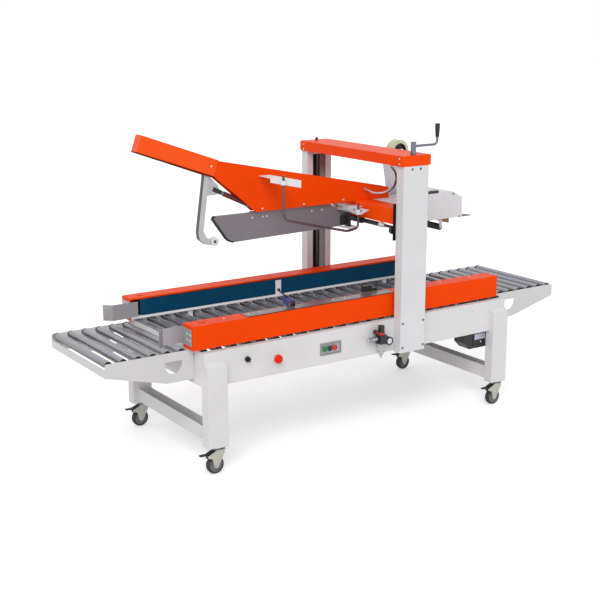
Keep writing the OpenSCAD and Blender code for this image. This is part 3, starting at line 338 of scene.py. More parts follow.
for corner in ("near_in", "near_out", "far_in", "far_out"):
    coat(fork_look, "fork_" + corner)
    low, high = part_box("wheel_" + corner)
    axle = (low + high) / 2
    form = bmesh.new()
    turned(form, [(-tread_half, tread_in), (-tread_half, shoulder_r), (-0.0105, wheel_r - 0.0013),
                  (-0.005, crown_r), (0.0, wheel_r), (0.005, crown_r), (0.0105, wheel_r - 0.0013),
                  (tread_half, shoulder_r), (tread_half, tread_in), (-tread_half, tread_in)],
           axle, (0, 1, 0), 56)
    tread = piece("tread_" + corner, form, tread_look, "wheel_" + corner)
    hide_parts("wheel_" + corner)
    form = bmesh.new()
    turned(form, [(-0.0123, 0.0061), (-0.0123, 0.0120), (-0.0085, 0.0135), (-0.0085, 0.0275),
                  (-0.0118, 0.0287), (-0.0118, 0.0311), (0.0118, 0.0311), (0.0118, 0.0287),
                  (0.0085, 0.0275), (0.0085, 0.0135), (0.0123, 0.0120), (0.0123, 0.0061),
                  (-0.0123, 0.0061)], axle, (0, 1, 0), 40)
    for spoke in range(8):
        turn = spoke * math.pi / 4
        out = Vector((math.cos(turn), 0, math.sin(turn)))
        for face in (-1, 1):
            root = axle + out * spoke_in + Vector((0, face * spoke_out, 0))
            turned(form, [(0.0, spoke_r), (spoke_l, spoke_r)], root, out, 8)
    piece("hub_" + corner, form, hub_look, "wheel_" + corner)

# End tables
# Folded sheet trays with shaped side panels, hand holes and a row of free rollers, hooked to the
# ends of the side frame and coated the same off-white.

table_white = finish("table_white", srgb(207, 206, 207), 0.42, shine=0.35)
coat(table_white, "end_tables")

# Rollers
# Thin zinc-plated tubes with pressed black bearing ends, turning on steel axles set in the side plates.
# The plating shines along the top of each roller, and the underside is painted dark brown as shade,
# less so between the belts to offset the shade of the covers and head there.

roller_look = finish("roller_zinc", srgb(156, 156, 164), 0.26, metal=0.6, mottle=0.04, broad=9.0,
                     stretch=(1.0, 0.12, 1.0), depth=0.00001)
roller_axis = 0.549
# Painted shade: below the axis the rollers are painted dark brown, less so between the belts.
underside_shade_brown = srgb(74, 68, 64)
shade_starts, shade_full = roller_axis + 0.011, roller_axis - 0.006
bed_shade_cut = 0.45
bed_end, belt_gap = 0.89, 0.25
tree = roller_look.node_tree
place = tree.nodes.new("ShaderNodeTexCoord")
height = tree.nodes.new("ShaderNodeSeparateXYZ")
tree.links.new(place.outputs["Object"], height.inputs[0])
shade_ramp = tree.nodes.new("ShaderNodeMapRange")
shade_ramp.inputs["From Min"].default_value = shade_starts
shade_ramp.inputs["From Max"].default_value = shade_full
tree.links.new(height.outputs["Z"], shade_ramp.inputs["Value"])
under = tree.nodes.new("ShaderNodeMix")
under.data_type = "RGBA"
roller_shader = tree.nodes["Principled BSDF"]
bed = tree.nodes.new("ShaderNodeMath")
bed.operation = "MULTIPLY_ADD"
between_belts = where(tree, x=(-bed_end, bed_end), y=(-belt_gap, belt_gap))
tree.links.new(between_belts, bed.inputs[0])
bed.inputs[1].default_value = -bed_shade_cut
bed.inputs[2].default_value = 1.0
painted_shade_mix = tree.nodes.new("ShaderNodeMath")
painted_shade_mix.operation = "MULTIPLY"
tree.links.new(shade_ramp.outputs["Result"], painted_shade_mix.inputs[0])
tree.links.new(bed.outputs[0], painted_shade_mix.inputs[1])
tree.links.new(painted_shade_mix.outputs[0], under.inputs[0])
tree.links.new(roller_shader.inputs["Base Color"].links[0].from_socket, under.inputs[6])
under.inputs[7].default_value = underside_shade_brown
tree.links.new(under.outputs[2], roller_shader.inputs["Base Color"])
cap_black = srgb(22, 22, 24)
patch(roller_look, cap_black, 0.5, 0.0, x=(-bed_end, bed_end), y=(0.3235, 0.3325), mirror="y")
patch(roller_look, cap_black, 0.5, 0.0, x=(bed_end, 1.32), y=(0.2675, 0.2765), mirror="xy")
coat(roller_look, "conveyor_rollers")

# Guide shafts
# Two ground and chromed bars across the frame on which the belt units slide to the carton's width.

chrome = finish("hard_chrome", srgb(150, 150, 156), 0.18, metal=1.0, mottle=0.03, broad=20.0)
coat(chrome, "guide_shafts")

# Belt carriers
# A white plate under each belt carries its pulleys on posts that slide on the guide shafts.
# Bent steel guides at the infeed end lead the carton between the belts.

# Painted light: the carrier's white is painted lighter than the frame's to offset the shade under the
# cover.
carrier_lightened_look = finish("carrier_white_painted_light", srgb(240, 240, 242), 0.42, shine=0.35)
guide_steel = srgb(168, 164, 168)
end_red = srgb(150, 52, 26)
guide_end = -0.9252
patch(carrier_lightened_look, guide_steel, 0.4, 0.35, x=(-1.1, guide_end))
patch(carrier_lightened_look, guide_steel, 0.4, 0.35, x=(-0.93, -0.8895), y=(0.246, 0.2502), z=(0.5892, 0.67),
      mirror="y")
patch(carrier_lightened_look, end_red, 0.4, 0.0, x=(-0.93, guide_end), y=(0.2505, 0.345), z=(0.6613, 0.70),
      mirror="y")
coat(carrier_lightened_look, "near_carrier", "far_carrier")
end_plate = -0.928
guide_bolts = ((0.300, 0.638), (0.327, 0.637), (0.300, 0.613), (0.325, 0.611))
for side, body in ((-1, "near_unit"), (1, "far_unit")):
    screws("guide_bolts_" + body, [(end_plate, side * y, z) for y, z in guide_bolts], (-1, 0, 0),
           screw_r, body, bright)

# Belts and pulleys
# Endless rubber belts, teal with a fine grain, run round steel pulleys. Where they turn at the infeed
# end they are painted nearly black as shade.

belt_look = finish("belt_rubber", srgb(0, 66, 98), 0.62, mottle=0.14, broad=7.0, grain=500.0,
                   depth=0.00008, shine=0.12)
# Painted shade: the belt is painted nearly black where it turns at the infeed end.
belt_turn_shade = (-0.92, -0.873)
patch(belt_look, srgb(8, 12, 16), 0.7, 0.0, x=belt_turn_shade)
coat(belt_look, "near_belt", "far_belt")
pulley_look = finish("pulley_steel", srgb(170, 172, 178), 0.34, metal=1.0, mottle=0.06, broad=30.0)
coat(pulley_look, "near_drive", "far_drive", "near_idler", "far_idler")

# Belt covers
# Folded sheet hoods over the outer run and the top of each belt, powder coated bright orange.
# Small screws hold them to the carriers, and each has a slot for setting the belt's tension.

orange = finish("powder_orange", srgb(243, 70, 0), 0.34, mottle=0.03, shine=0.05)
coat(orange, "near_cover", "far_cover")
cover_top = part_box("near_cover")[1].z
cover_screw_y = -0.297
screws("cover_screws", [(x, cover_screw_y, cover_top) for x in (-0.742, 0.500, 0.700)],
       (0, 0, 1), screw_r, "near_unit", bright)

# Gear motors
# A black painted geared motor hangs under the outfeed end of each belt and turns its drive pulley.
# The front has a bare pale plate, and a seam between gear case and motor.


def outline_box(low, high, radius, steps=4):
    """The corners of a rectangle with rounded corners, in order."""
    points = []
    for cx, cy, start in ((high[0], high[1], 0), (low[0], high[1], 90), (low[0], low[1], 180),
                          (high[0], low[1], 270)):
        middle = (cx - math.copysign(radius, cx - (low[0] + high[0]) / 2),
                  cy - math.copysign(radius, cy - (low[1] + high[1]) / 2))
        for step in range(steps + 1):
            angle = math.radians(start + 90 * step / steps)
            points.append((middle[0] + radius * math.cos(angle), middle[1] + radius * math.sin(angle)))
    return points


def flat_plate(form, outline, low, high, across, soft=0.0):
    """An outline made solid between two planes, with its edges eased."""
    order = {"x": (2, 0, 1), "y": (0, 2, 1), "z": (0, 1, 2)}[across]
    def corner(a, b, level):
        values = (a, b, level)
        return tuple(values[order[i]] for i in range(3))
    under = [form.verts.new(corner(a, b, low)) for a, b in outline]
    over = [form.verts.new(corner(a, b, high)) for a, b in outline]
    count = len(outline)
    faces = [form.faces.new(under), form.faces.new(over)]
    for i in range(count):
        n = (i + 1) % count
        faces.append(form.faces.new((under[i], under[n], over[n], over[i])))
    bmesh.ops.recalc_face_normals(form, faces=faces)
    if soft:
        rims = list({e for f in faces[:2] for e in f.edges})
        bmesh.ops.bevel(form, geom=rims, offset=soft, segments=2, profile=0.5, affect="EDGES")


motor_look = finish("motor_black", srgb(20, 20, 22), 0.4, mottle=0.10, broad=30.0, grain=420.0,
                    depth=0.00008)
coat(motor_look, "near_motor", "far_motor")
plate_look = finish("bare_plate", srgb(176, 180, 196), 0.38, metal=0.4, mottle=0.06, broad=60.0)
plate_t, seam_t = 0.0015, 0.002
fine_screw_r = 0.0045
for side, body in ((-1, "near_unit"), (1, "far_unit")):
    low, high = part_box("near_motor" if side < 0 else "far_motor")
    face = low.y if side < 0 else high.y
    form = bmesh.new()
    flat_plate(form, outline_box((0.709, 0.355), (0.781, 0.386), 0.003),
               *sorted((face, face + side * plate_t)), "y", 0.0004)
    piece("motor_plate_" + body, form, plate_look, body)
    form = bmesh.new()
    flat_plate(form, outline_box((0.697, 0.314), (0.702, 0.393), 0.002),
               *sorted((face, face + side * seam_t)), "y", 0.0006)
    piece("motor_seam_" + body, form, motor_look, body)
    screws("motor_bolt_" + body, [(0.752, face, 0.341)], (0, side, 0), fine_screw_r, body, bright)

# Carton switch
# A steel strip along the near cover carries a limit switch with a blue body in a bent bracket, whose
# lever reaches into the carton's path, and further on a small black light sensor on its own bracket.

sensor_look = finish("sensor_steel", srgb(140, 124, 122), 0.34, metal=0.6, mottle=0.05, broad=20.0)
rail_edge_shadow = srgb(66, 46, 42)
switch_blue, switch_black, eye_black = srgb(66, 70, 128), srgb(20, 20, 24), srgb(20, 20, 22)
switch_front, switch_back = -0.4119, -0.3841
strip_top, strip_screw_y = 0.679, -0.304
# Painted shadow: dark lines along the steel strip's front and back edges.
for edge in ((-0.3385, -0.3345), (-0.2745, -0.2695)):
    patch(sensor_look, rail_edge_shadow, 0.5, 0.2, y=edge, z=(0.67, 0.6793))
patch(sensor_look, switch_blue, 0.4, 0.0, x=(-0.42, switch_back), y=(-0.318, -0.255), z=(0.6860, 0.74))
patch(sensor_look, switch_black, 0.45, 0.0, x=(switch_front, switch_back), y=(-0.33, -0.3179),
      z=(0.6880, 0.74))
patch(sensor_look, eye_black, 0.5, 0.0, x=(0.0425, 0.1245), z=(0.6835, 0.72))
coat(sensor_look, "carton_sensors")
coat(black_plastic, "switch_lever")
screws("strip_screws", [(x, strip_screw_y, strip_top) for x in (-0.620, -0.560, -0.156, -0.091)],
       (0, 0, 1), screw_r, "near_unit", bright)

# Columns
# Two folded sheet posts bolted outside the side frame, open on the inside where the head's
# leadscrews run. They are coated off-white, with painted shade inside the channel, and bolted through
# with dark socket screws.

column_white = finish("column_white", srgb(217, 217, 219), 0.42, shine=0.35)
# Painted shade: the inside of the open channel is painted dark grey.
channel_painted_shade = srgb(44, 42, 44)
patch(column_white, channel_painted_shade, 0.5, 0.0, x=(0.1605, 0.2670), y=(0.3705, 0.4135), z=(0.40, 1.285),
      mirror="y")
coat(column_white, "near_column", "far_column")
dark_steel = finish("dark_screw", srgb(90, 90, 94), 0.35, metal=0.9, mottle=0.05, broad=60.0)
column_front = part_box("near_column")[0].y
bolt_r, bolt_sink = 0.006, 0.0022
column_bolts = ((0.172, 0.539), (0.298, 0.541), (0.174, 0.419), (0.299, 0.418), (0.210, 1.274),
                (0.259, 1.274))
for side, end in ((-1, "near"), (1, "far")):
    screws("column_screws_" + end, [(x, -side * (column_front + bolt_sink), z) for x, z in column_bolts],
           (0, side, 0), bolt_r, "frame", dark_steel)

# Top beam and lift
# A folded orange beam ties the columns together and hides the chain between the two leadscrews.
# The screws are bright rolled steel, and the chain is oiled black.

beam_look = finish("beam_orange", srgb(244, 72, 0), 0.36, mottle=0.03, shine=0.08)
coat(beam_look, "top_beam")
screw_look = finish("leadscrew", srgb(84, 82, 86), 0.34, metal=0.8, mottle=0.06, broad=40.0)
coat(screw_look, "near_screw", "far_screw")
chain_look = finish("oiled_chain", srgb(40, 38, 38), 0.4, metal=0.7, mottle=0.12, broad=120.0)
coat(chain_look, "lift_chain")
beam_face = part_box("top_beam")[0].x
beam_bolts = ((0.384, 1.322), (0.384, 1.297), (-0.396, 1.324), (-0.396, 1.300))
screws("beam_screws", [(beam_face, y, z) for y, z in beam_bolts], (-1, 0, 0), fine_screw_r, "frame",
       bright)

# Crank
# A hub pinned on the near leadscrew, a chromed bent rod and a black turned grip that spins freely.

crank_look = finish("crank_chrome", srgb(120, 122, 134), 0.15, metal=1.0, mottle=0.03, broad=20.0)
coat(crank_look, "crank_arm")
coat(black_plastic, "crank_grip")

# Head carriage
# The orange cross carriage rides up and down between the columns on black slide plates, each with a
# guide wheel. An air cylinder that presses the tape head down is slung across under it.

carriage_look = finish("carriage_orange", srgb(255, 80, 6), 0.34, mottle=0.03, shine=0.08)
slide_black = srgb(22, 22, 24)
slide_in = 0.3581
guide_wheel_r = 0.019
patch(carriage_look, slide_black, 0.4, 0.0, y=(slide_in, 0.40), mirror="y")
coat(carriage_look, "cross_carriage")
form = bmesh.new()
for side in (-1, 1):
    turned(form, [(0.0, 0.0), (0.0, 0.016), (0.002, guide_wheel_r), (0.013, guide_wheel_r),
                  (0.015, 0.016), (0.015, 0.006), (0.024, 0.006)], (0.158, side * 0.334, 0.983),
           (0, side, 0), 32)
piece("guide_wheels", form, black_plastic, "head")

press_at = Vector((0.196, 0.0, 0.986))
form = bmesh.new()
turned(form, [(-0.110, 0.0), (-0.110, 0.016), (-0.098, 0.017), (-0.098, 0.015), (0.046, 0.015),
              (0.046, 0.017), (0.060, 0.016), (0.060, 0.006), (0.206, 0.006)], press_at, (0, -1, 0), 24)
piece("press_cylinder", form, black_plastic, "head")
form = bmesh.new()
turned(form, [(0.060, 0.011), (0.198, 0.011), (0.200, 0.008)], press_at, (0, -1, 0), 20)
turned(form, [(0.236, 0.007), (0.298, 0.007), (0.298, 0.0)], press_at, (0, -1, 0), 16)
piece("press_rod", form, dark_steel, "head")
form = bmesh.new()
turned(form, [(0.199, 0.006), (0.199, 0.013), (0.216, 0.013), (0.218, 0.010), (0.236, 0.010),
              (0.237, 0.0)], press_at, (0, -1, 0), 12)
piece("press_fitting", form, white, "head")

# Head plates and nose
# Two orange plates run along the top of the head, closed at the infeed end by a folded nose channel
# that covers the kicker's pivot. Bright screws hold the lower edge, and the channel's lower edges are
# hemmed inwards, with the hems painted dark maroon as shade.

coat(orange, "head_plates")
coat(finish("nose_orange", srgb(252, 82, 2), 0.32, mottle=0.03, shine=0.22), "nose_channel")
screws("head_screws", [(x, -0.025, 1.091) for x in (-0.366, -0.132, 0.102)],
       (0, -1, 0), screw_r, "head", bright)
# Painted shade: the hems are dark maroon, the orange of the head in shade.
hem_shade_look = finish("nose_hem_painted_shade", srgb(112, 26, 8), 0.5, mottle=0.08, broad=30.0, shine=0.1)
hem_outline = [(-1.0046, 1.3916), (-0.6260, 1.2540), (-0.6230, 1.2625), (-1.0030, 1.3963)]
hem_y, hem_half = 0.0264, 0.0010
form = bmesh.new()
for side in (-1, 1):
    flat_plate(form, hem_outline, side * hem_y - hem_half, side * hem_y + hem_half, "y", 0.0003)
piece("nose_hems", form, hem_shade_look, "head")
screws("nose_screws", [(-0.6375, -0.0275, 1.308)], (0, -1, 0), screw_r, "head", bright)

# Flap plate
# A grey steel blade under the head that folds the carton's long flaps, with a brown wear edge below and
# a black strip along its leading edge that stands for the edge's shade.

blade_look = finish("blade_steel", srgb(122, 116, 122), 0.36, metal=0.2, mottle=0.06, broad=4.0)
wear_brown, wear_top = srgb(92, 70, 66), 0.9485
patch(blade_look, wear_brown, 0.5, 0.1, z=(0.9, wear_top))
coat(blade_look, "flap_plate")
rubber = finish("black_rubber", srgb(24, 24, 25), 0.6, mottle=0.08, broad=60.0)
bend_at, bend_r = Vector((-0.508, 1.005)), 0.060
lead = [Vector((-0.612, 1.075)), Vector((-0.624, 1.063))]
for step in range(9):
    angle = math.radians(216 + 6 * step)
    lead.append(bend_at + bend_r * Vector((math.cos(angle), math.sin(angle))))
# Painted shade: a thin black strip along the blade's leading edge stands for the edge in shadow.
shade_strip_over, shade_strip_in, shade_strip_half = 0.003, 0.005, 0.0090
inner, outer = [], []
for i, point in enumerate(lead):
    ahead = (lead[min(i + 1, len(lead) - 1)] - lead[max(i - 1, 0)]).normalized()
    across = Vector((ahead.y, -ahead.x))
    outer.append(point + across * shade_strip_over)
    inner.append(point - across * shade_strip_in)
form = bmesh.new()
flat_plate(form, [tuple(p) for p in outer + inner[::-1]], -shade_strip_half, shade_strip_half, "y", 0.0006)
piece("blade_edge_shade", form, rubber, "head")
screws("blade_bolts", [(x, -0.0075, 1.050) for x in (-0.412, -0.354, -0.332, -0.073, -0.014)],
       (0, -1, 0), screw_r, "head", bright)

# Guide rods
# Bent chromed rods on both sides of the blade hold the flaps down. They drop from the upper brackets,
# run in towards the tape head and turn up into the lower bracket.


def eased(points, radius, steps=6):
    """A line whose inner corners are rounded off."""
    line = [Vector(points[0])]
    for before, here, after in zip(points, points[1:], points[2:]):
        here = Vector(here)
        back = Vector(before) - here
        on = Vector(after) - here
        reach = min(radius, back.length * 0.45, on.length * 0.45)
        start = here + back.normalized() * reach
        end = here + on.normalized() * reach
        for step in range(steps + 1):
            t = step / steps
            line.append(start.lerp(here, t).lerp(here.lerp(end, t), t))
    line.append(Vector(points[-1]))
    return line


def swept(form, line, radius, sides=16):
    """A round bar along a line, closed at both ends. The radius may change along it."""
    last = len(line) - 1
    turns = [(line[min(i + 1, last)] - line[max(i - 1, 0)]).normalized() for i in range(len(line))]
    side = turns[0].orthogonal().normalized()
    rings = []
    for i, point in enumerate(line):
        side = (side - turns[i] * side.dot(turns[i])).normalized()
        other = turns[i].cross(side)
        size = radius(i) if callable(radius) else radius
        angles = [2 * math.pi * k / sides for k in range(sides)]
        rings.append([form.verts.new(point + size * (side * math.cos(a) + other * math.sin(a)))
                      for a in angles])
    faces = []
    for low, high in zip(rings, rings[1:]):
        for k in range(sides):
            n = (k + 1) % sides
            faces.append(form.faces.new((low[k], low[n], high[n], high[k])))
    faces.append(form.faces.new(rings[0]))
    faces.append(form.faces.new(rings[-1]))
    bmesh.ops.recalc_face_normals(form, faces=faces)


rod_route = [(-0.361, 0.197, 1.266), (-0.361, 0.197, 1.090), (-0.346, 0.197, 1.057),
             (0.075, 0.100, 0.949), (0.137, 0.100, 0.960), (0.137, 0.100, 1.080)]
rod_r, rod_bend = 0.006, 0.022
far_rise = 0.075
rod_look = finish("rod_chrome", srgb(104, 90, 92), 0.22, metal=0.9, mottle=0.05, broad=14.0)
form = bmesh.new()
for side, rise in ((-1, 0.0), (1, far_rise)):
    bends = [(x, side * y, z + rise if i in (1, 2) else z) for i, (x, y, z) in enumerate(rod_route)]
    swept(form, eased(bends, rod_bend), rod_r, 18)
rods = piece("guide_rods_bent", form, rod_look, "head")
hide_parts("guide_rods")
bracket_white = finish("bracket_white", srgb(224, 224, 226), 0.42, shine=0.35)
coat(bracket_white, "rod_brackets")
bracket_bolt_r = 0.0042
bracket_bolts = [(0.147, side * y, 1.044) for side in (-1, 1) for y in (0.055, 0.078, 0.100, 0.112)]
screws("bracket_bolts", bracket_bolts, (-1, 0, 0), bracket_bolt_r, "head", dark_steel)

# Press plates
# A pale steel plate on each side fills the space between the blade's end and the rod's bend, and a black
# clamp ties the blade's end to the bracket.

form = bmesh.new()
for side in (-1, 1):
    outline = [(x, side * y) for x, y in ((0.086, 0.012), (0.170, 0.012), (0.146, 0.094), (0.088, 0.094))]
    flat_plate(form, outline, 0.9560, 0.9590, "z", 0.0006)
piece("press_plates", form, bracket_white, "head")
form = bmesh.new()
flat_plate(form, outline_box((0.096, 0.968), (0.147, 1.012), 0.004), -0.024, 0.024, "y", 0.0015)
flat_plate(form, outline_box((0.120, 0.960), (0.132, 1.030), 0.003), -0.050, 0.050, "y", 0.0012)
piece("blade_clamp", form, black_plastic, "head")

# Kicker
# A plated arm swings down and folds the carton's rear flap with a white roller at its toe. Its infeed
# side is painted dark as the shade inside the arm's open channel. A small air cylinder inside the head
# drives it through a black clevis.

kicker_look = finish("kicker_plated", srgb(186, 183, 186), 0.32, metal=0.5, mottle=0.05, broad=12.0)
# Painted shade: faces turned to the infeed are painted dark grey for the shade inside the open channel.
shaded_channel_side = ("X", -1.1, -0.6)
patch(kicker_look, srgb(84, 82, 88), 0.45, 0.2, facing=shaded_channel_side)
coat(kicker_look, "kicker_arm")
nylon = finish("white_nylon", srgb(226, 224, 222), 0.45, mottle=0.03, broad=40.0)
coat(nylon, "kicker_roller")
low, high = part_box("kicker_roller")
toe_at = ((low.x + high.x) / 2, low.y, (low.z + high.z) / 2)
form = bmesh.new()
turned(form, [(0.0002, 0.0), (0.0002, 0.0070), (0.0026, 0.0070), (0.0034, 0.0056), (0.0034, 0.0)], toe_at,
       (0, -1, 0), 20)
piece("toe_bolt", form, dark_steel, "kicker_arm")
# Painted reflection: the steel barrel is painted dark maroon for the orange head and shade it mirrors.
barrel_reflection_look = finish("cylinder_barrel_painted_reflection", srgb(98, 30, 24), 0.34, metal=0.3, mottle=0.06, broad=30.0)
coat(barrel_reflection_look, "kicker_cylinder")
clevis_look = finish("clevis_steel", srgb(176, 176, 180), 0.26, metal=0.9, mottle=0.04, broad=30.0)
clevis = (-0.70, -0.571)
patch(clevis_look, srgb(26, 26, 28), 0.45, 0.0, x=clevis)
coat(clevis_look, "kicker_rod")
pin_at = Vector((-0.6099, 0.0, 1.1973))
form = bmesh.new()
for side in (-1, 1):
    turned(form, [(0.0042, 0.0042), (0.0042, 0.0195), (0.0046, 0.0200), (0.0054, 0.0200),
                  (0.0057, 0.0195), (0.0057, 0.0042), (0.0042, 0.0042)], pin_at, (0, side, 0), 36)
piece("pin_washers", form, kicker_look, "kicker_rod")

# Tape head
# A white sheet case holds the tape path, with a wiping arm, its rubber roller and a brush below, and
# plain steel runners at the end. A steel mast carries the tape roll above.

case_white = finish("case_white", srgb(218, 217, 220), 0.42, shine=0.35)
runner_steel, runner_start = srgb(126, 124, 130), 0.8495
patch(case_white, runner_steel, 0.36, 0.6, x=(runner_start, 1.0))
coat(case_white, "tape_case")
case_front = -0.060
screws("case_screws", [(0.784, case_front, 1.067), (0.831, case_front, 0.9435)], (0, -1, 0),
       fine_screw_r, "head", dark_steel)
arm_look = finish("wipe_arm_plated", srgb(182, 180, 184), 0.34, metal=0.5, mottle=0.05, broad=12.0)
brush_brown = srgb(140, 110, 70)
patch(arm_look, brush_brown, 0.8, 0.0, x=(0.7205, 0.77), z=(0.90, 0.9395))
coat(arm_look, "wipe_arm")
coat(rubber, "wipe_roller")
mast_look = finish("mast_steel", srgb(188, 185, 194), 0.34, metal=0.6, mottle=0.05, broad=12.0)
coat(mast_look, "tape_mast")

case_top = 1.078
form = bmesh.new()
flat_plate(form, outline_box((0.500, case_front), (0.686, -0.046), 0.003), case_top - 0.001,
           case_top + 0.013, "z", 0.001)
piece("case_bar", form, black_plastic, "head")
form = bmesh.new()
turned(form, [(-0.022, 0.008), (-0.022, 0.044), (-0.019, 0.047), (0.019, 0.047), (0.022, 0.044),
              (0.022, 0.008), (-0.022, 0.008)], (0.683, 0.0, 1.052), (0, 1, 0), 40)
piece("case_drum", form, case_white, "head")

# Tape roll
# A part-used roll of pale packing tape on a black core, held on the mast's spindle by a white nut.

tape_r = 0.055
core_r = 0.038
tape_half, wound_half = 0.025, 0.024
low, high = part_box("tape_roll")
roll_at = Vector(((low.x + high.x) / 2, 0.0, (low.z + high.z) / 2))
tape_look = finish("clear_tape", srgb(196, 200, 168), 0.25, mottle=0.05, broad=20.0)
form = bmesh.new()
turned(form, [(-wound_half, core_r), (-wound_half, tape_r - 0.001), (-0.023, tape_r), (0.023, tape_r),
              (wound_half, tape_r - 0.001), (wound_half, core_r), (-wound_half, core_r)],
       roll_at, (0, 1, 0), 64)
wound = piece("tape_wound", form, tape_look, "tape_roll")
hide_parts("tape_roll")
form = bmesh.new()
turned(form, [(-tape_half, core_r), (-tape_half, core_r - 0.004), (-0.012, core_r - 0.006),
              (-0.010, 0.016), (-wound_half, 0.015), (-wound_half, 0.0083), (wound_half, 0.0083),
              (wound_half, 0.015), (0.010, 0.016), (0.012, core_r - 0.006),
              (tape_half, core_r - 0.004), (tape_half, core_r), (-tape_half, core_r)],
       roll_at, (0, 1, 0), 48)
piece("tape_core", form, black_plastic, "tape_roll")
form = bmesh.new()
turned(form, [(0.0, 0.0085), (0.0, 0.012), (0.006, 0.012), (0.008, 0.009), (0.008, 0.0)],
       (roll_at.x, -0.0325, roll_at.z), (0, -1, 0), 8)
piece("tape_nut", form, white, "head")

# Conduit
# A bright flexible steel conduit carries the air line and wires from the beam down into the head.
# It is wound from a narrow strip and hangs in one loose bow.

conduit_d = 0.013
conduit_route = [(0.155, -0.325, 1.289), (0.165, -0.323, 1.277), (0.182, -0.318, 1.262),
                 (0.196, -0.310, 1.249), (0.208, -0.300, 1.236), (0.221, -0.286, 1.220),
                 (0.232, -0.268, 1.203), (0.243, -0.248, 1.185), (0.249, -0.228, 1.168),
                 (0.251, -0.205, 1.152), (0.249, -0.184, 1.140), (0.242, -0.163, 1.131),
                 (0.234, -0.143, 1.127), (0.229, -0.120, 1.125), (0.226, -0.098, 1.126),
                 (0.227, -0.076, 1.129), (0.229, -0.054, 1.132), (0.232, -0.025, 1.136)]
rib_pitch, rib_depth = 0.004, 0.00012
coarse = [Vector(p) for p in conduit_route]
fine = []
for i in range(len(coarse) - 1):
    before = coarse[max(i - 1, 0)]
    start, end = coarse[i], coarse[i + 1]
    after = coarse[min(i + 2, len(coarse) - 1)]
    count = max(2, round((end - start).length / rib_pitch) * 4)
    for step in range(count):
        t = step / count
        pull = (-t ** 3 + 2 * t ** 2 - t, 3 * t ** 3 - 5 * t ** 2 + 2,
                -3 * t ** 3 + 4 * t ** 2 + t, t ** 3 - t ** 2)
        fine.append((before * pull[0] + start * pull[1] + end * pull[2] + after * pull[3]) / 2)
fine.append(coarse[-1])
form = bmesh.new()
swept(form, fine, lambda i: conduit_d / 2 - (rib_depth if i % 4 in (0, 1) else 0.0), 16)
conduit_look = finish("bright_conduit", srgb(214, 212, 214), 0.22, metal=0.4, mottle=0.04, broad=20.0)
# Painted reflection: the downward- and upward-facing sides of the tube are painted dark as mirrored
# surroundings.
underside_dark_reflection, top_dark_reflection = ("Z", -1.1, -0.5), ("Z", 0.86, 1.1)
patch(conduit_look, srgb(66, 54, 54), 0.4, 0.3, facing=underside_dark_reflection)
patch(conduit_look, srgb(104, 88, 88), 0.4, 0.3, facing=top_dark_reflection)
mesh = bpy.data.meshes.new("conduit")
form.to_mesh(mesh)
form.free()
mesh.shade_smooth()
mesh.materials.append(conduit_look)
conduit = bpy.data.objects.new("conduit", mesh)
bpy.context.scene.collection.objects.link(conduit)
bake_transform(conduit)
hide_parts("flex_conduit")

# Control station
# A grey plate with a raised bevelled rim on the side plate, and three moulded keys, green, black and
# red, each clipped on its own round plunger. The collars of the stop button and the selector belong
# to it.

station_look = finish("station_plate", srgb(168, 168, 172), 0.4, metal=0.3, mottle=0.05, broad=40.0)
stop_collar, selector_collar = (-0.56, -0.47), (-0.70, -0.63)
patch(station_look, srgb(224, 220, 212), 0.4, 0.0, x=stop_collar)
patch(station_look, srgb(40, 40, 42), 0.4, 0.0, x=selector_collar)
coat(station_look, "control_station")
rim_look = finish("station_rim", srgb(142, 142, 146), 0.4, metal=0.3, mottle=0.05, broad=40.0)
rim_out = outline_box((-0.274, 0.443), (-0.157, 0.501), 0.004)
rim_in = outline_box((-0.268, 0.449), (-0.163, 0.495), 0.003)
rim_steps = ((rim_out, -0.3680), (rim_out, -0.3700), (rim_in, -0.3730), (rim_in, -0.3685))
form = bmesh.new()
loops = [[form.verts.new((x, y, z)) for x, z in outline] for outline, y in rim_steps]
for first, second in zip(loops, loops[1:]):
    for i in range(len(first)):
        n = (i + 1) % len(first)
        form.faces.new((first[i], first[n], second[n], second[i]))
bmesh.ops.recalc_face_normals(form, faces=form.faces[:])
piece("station_rim", form, rim_look, "frame")
key_z = 0.475
key_half_w, key_half_h = 0.0105, 0.0125
key_front, key_back = -0.3805, -0.3773
keys = (("green", -0.2555, srgb(16, 112, 66)), ("black", -0.2265, srgb(26, 24, 26)),
        ("red", -0.1985, srgb(202, 22, 24)))
for hue, key_x, colour in keys:
    key_look = finish(hue + "_key", colour, 0.32, mottle=0.05, broad=80.0)
    coat(key_look, hue + "_button")
    form = bmesh.new()
    outline = outline_box((key_x - key_half_w, key_z - key_half_h),
                          (key_x + key_half_w, key_z + key_half_h), 0.004)
    flat_plate(form, outline, key_front, key_back, "y", 0.0012)
    piece(hue + "_key", form, key_look, hue + "_button")

# Stop button and selector
# A red mushroom button and a black turning switch, each in a round collar on the side plate.

coat(finish("stop_red", srgb(226, 32, 10), 0.34, mottle=0.04, broad=60.0, shine=0.2), "estop_button")
coat(black_plastic, "selector_knob")

# Air regulator
# A black die-cast filter regulator on the side plate: a knob over a red ring, a white-faced gauge in a
# black bezel, a bright inlet fitting with a shut-off valve, and a clear bowl with a metal drain below.

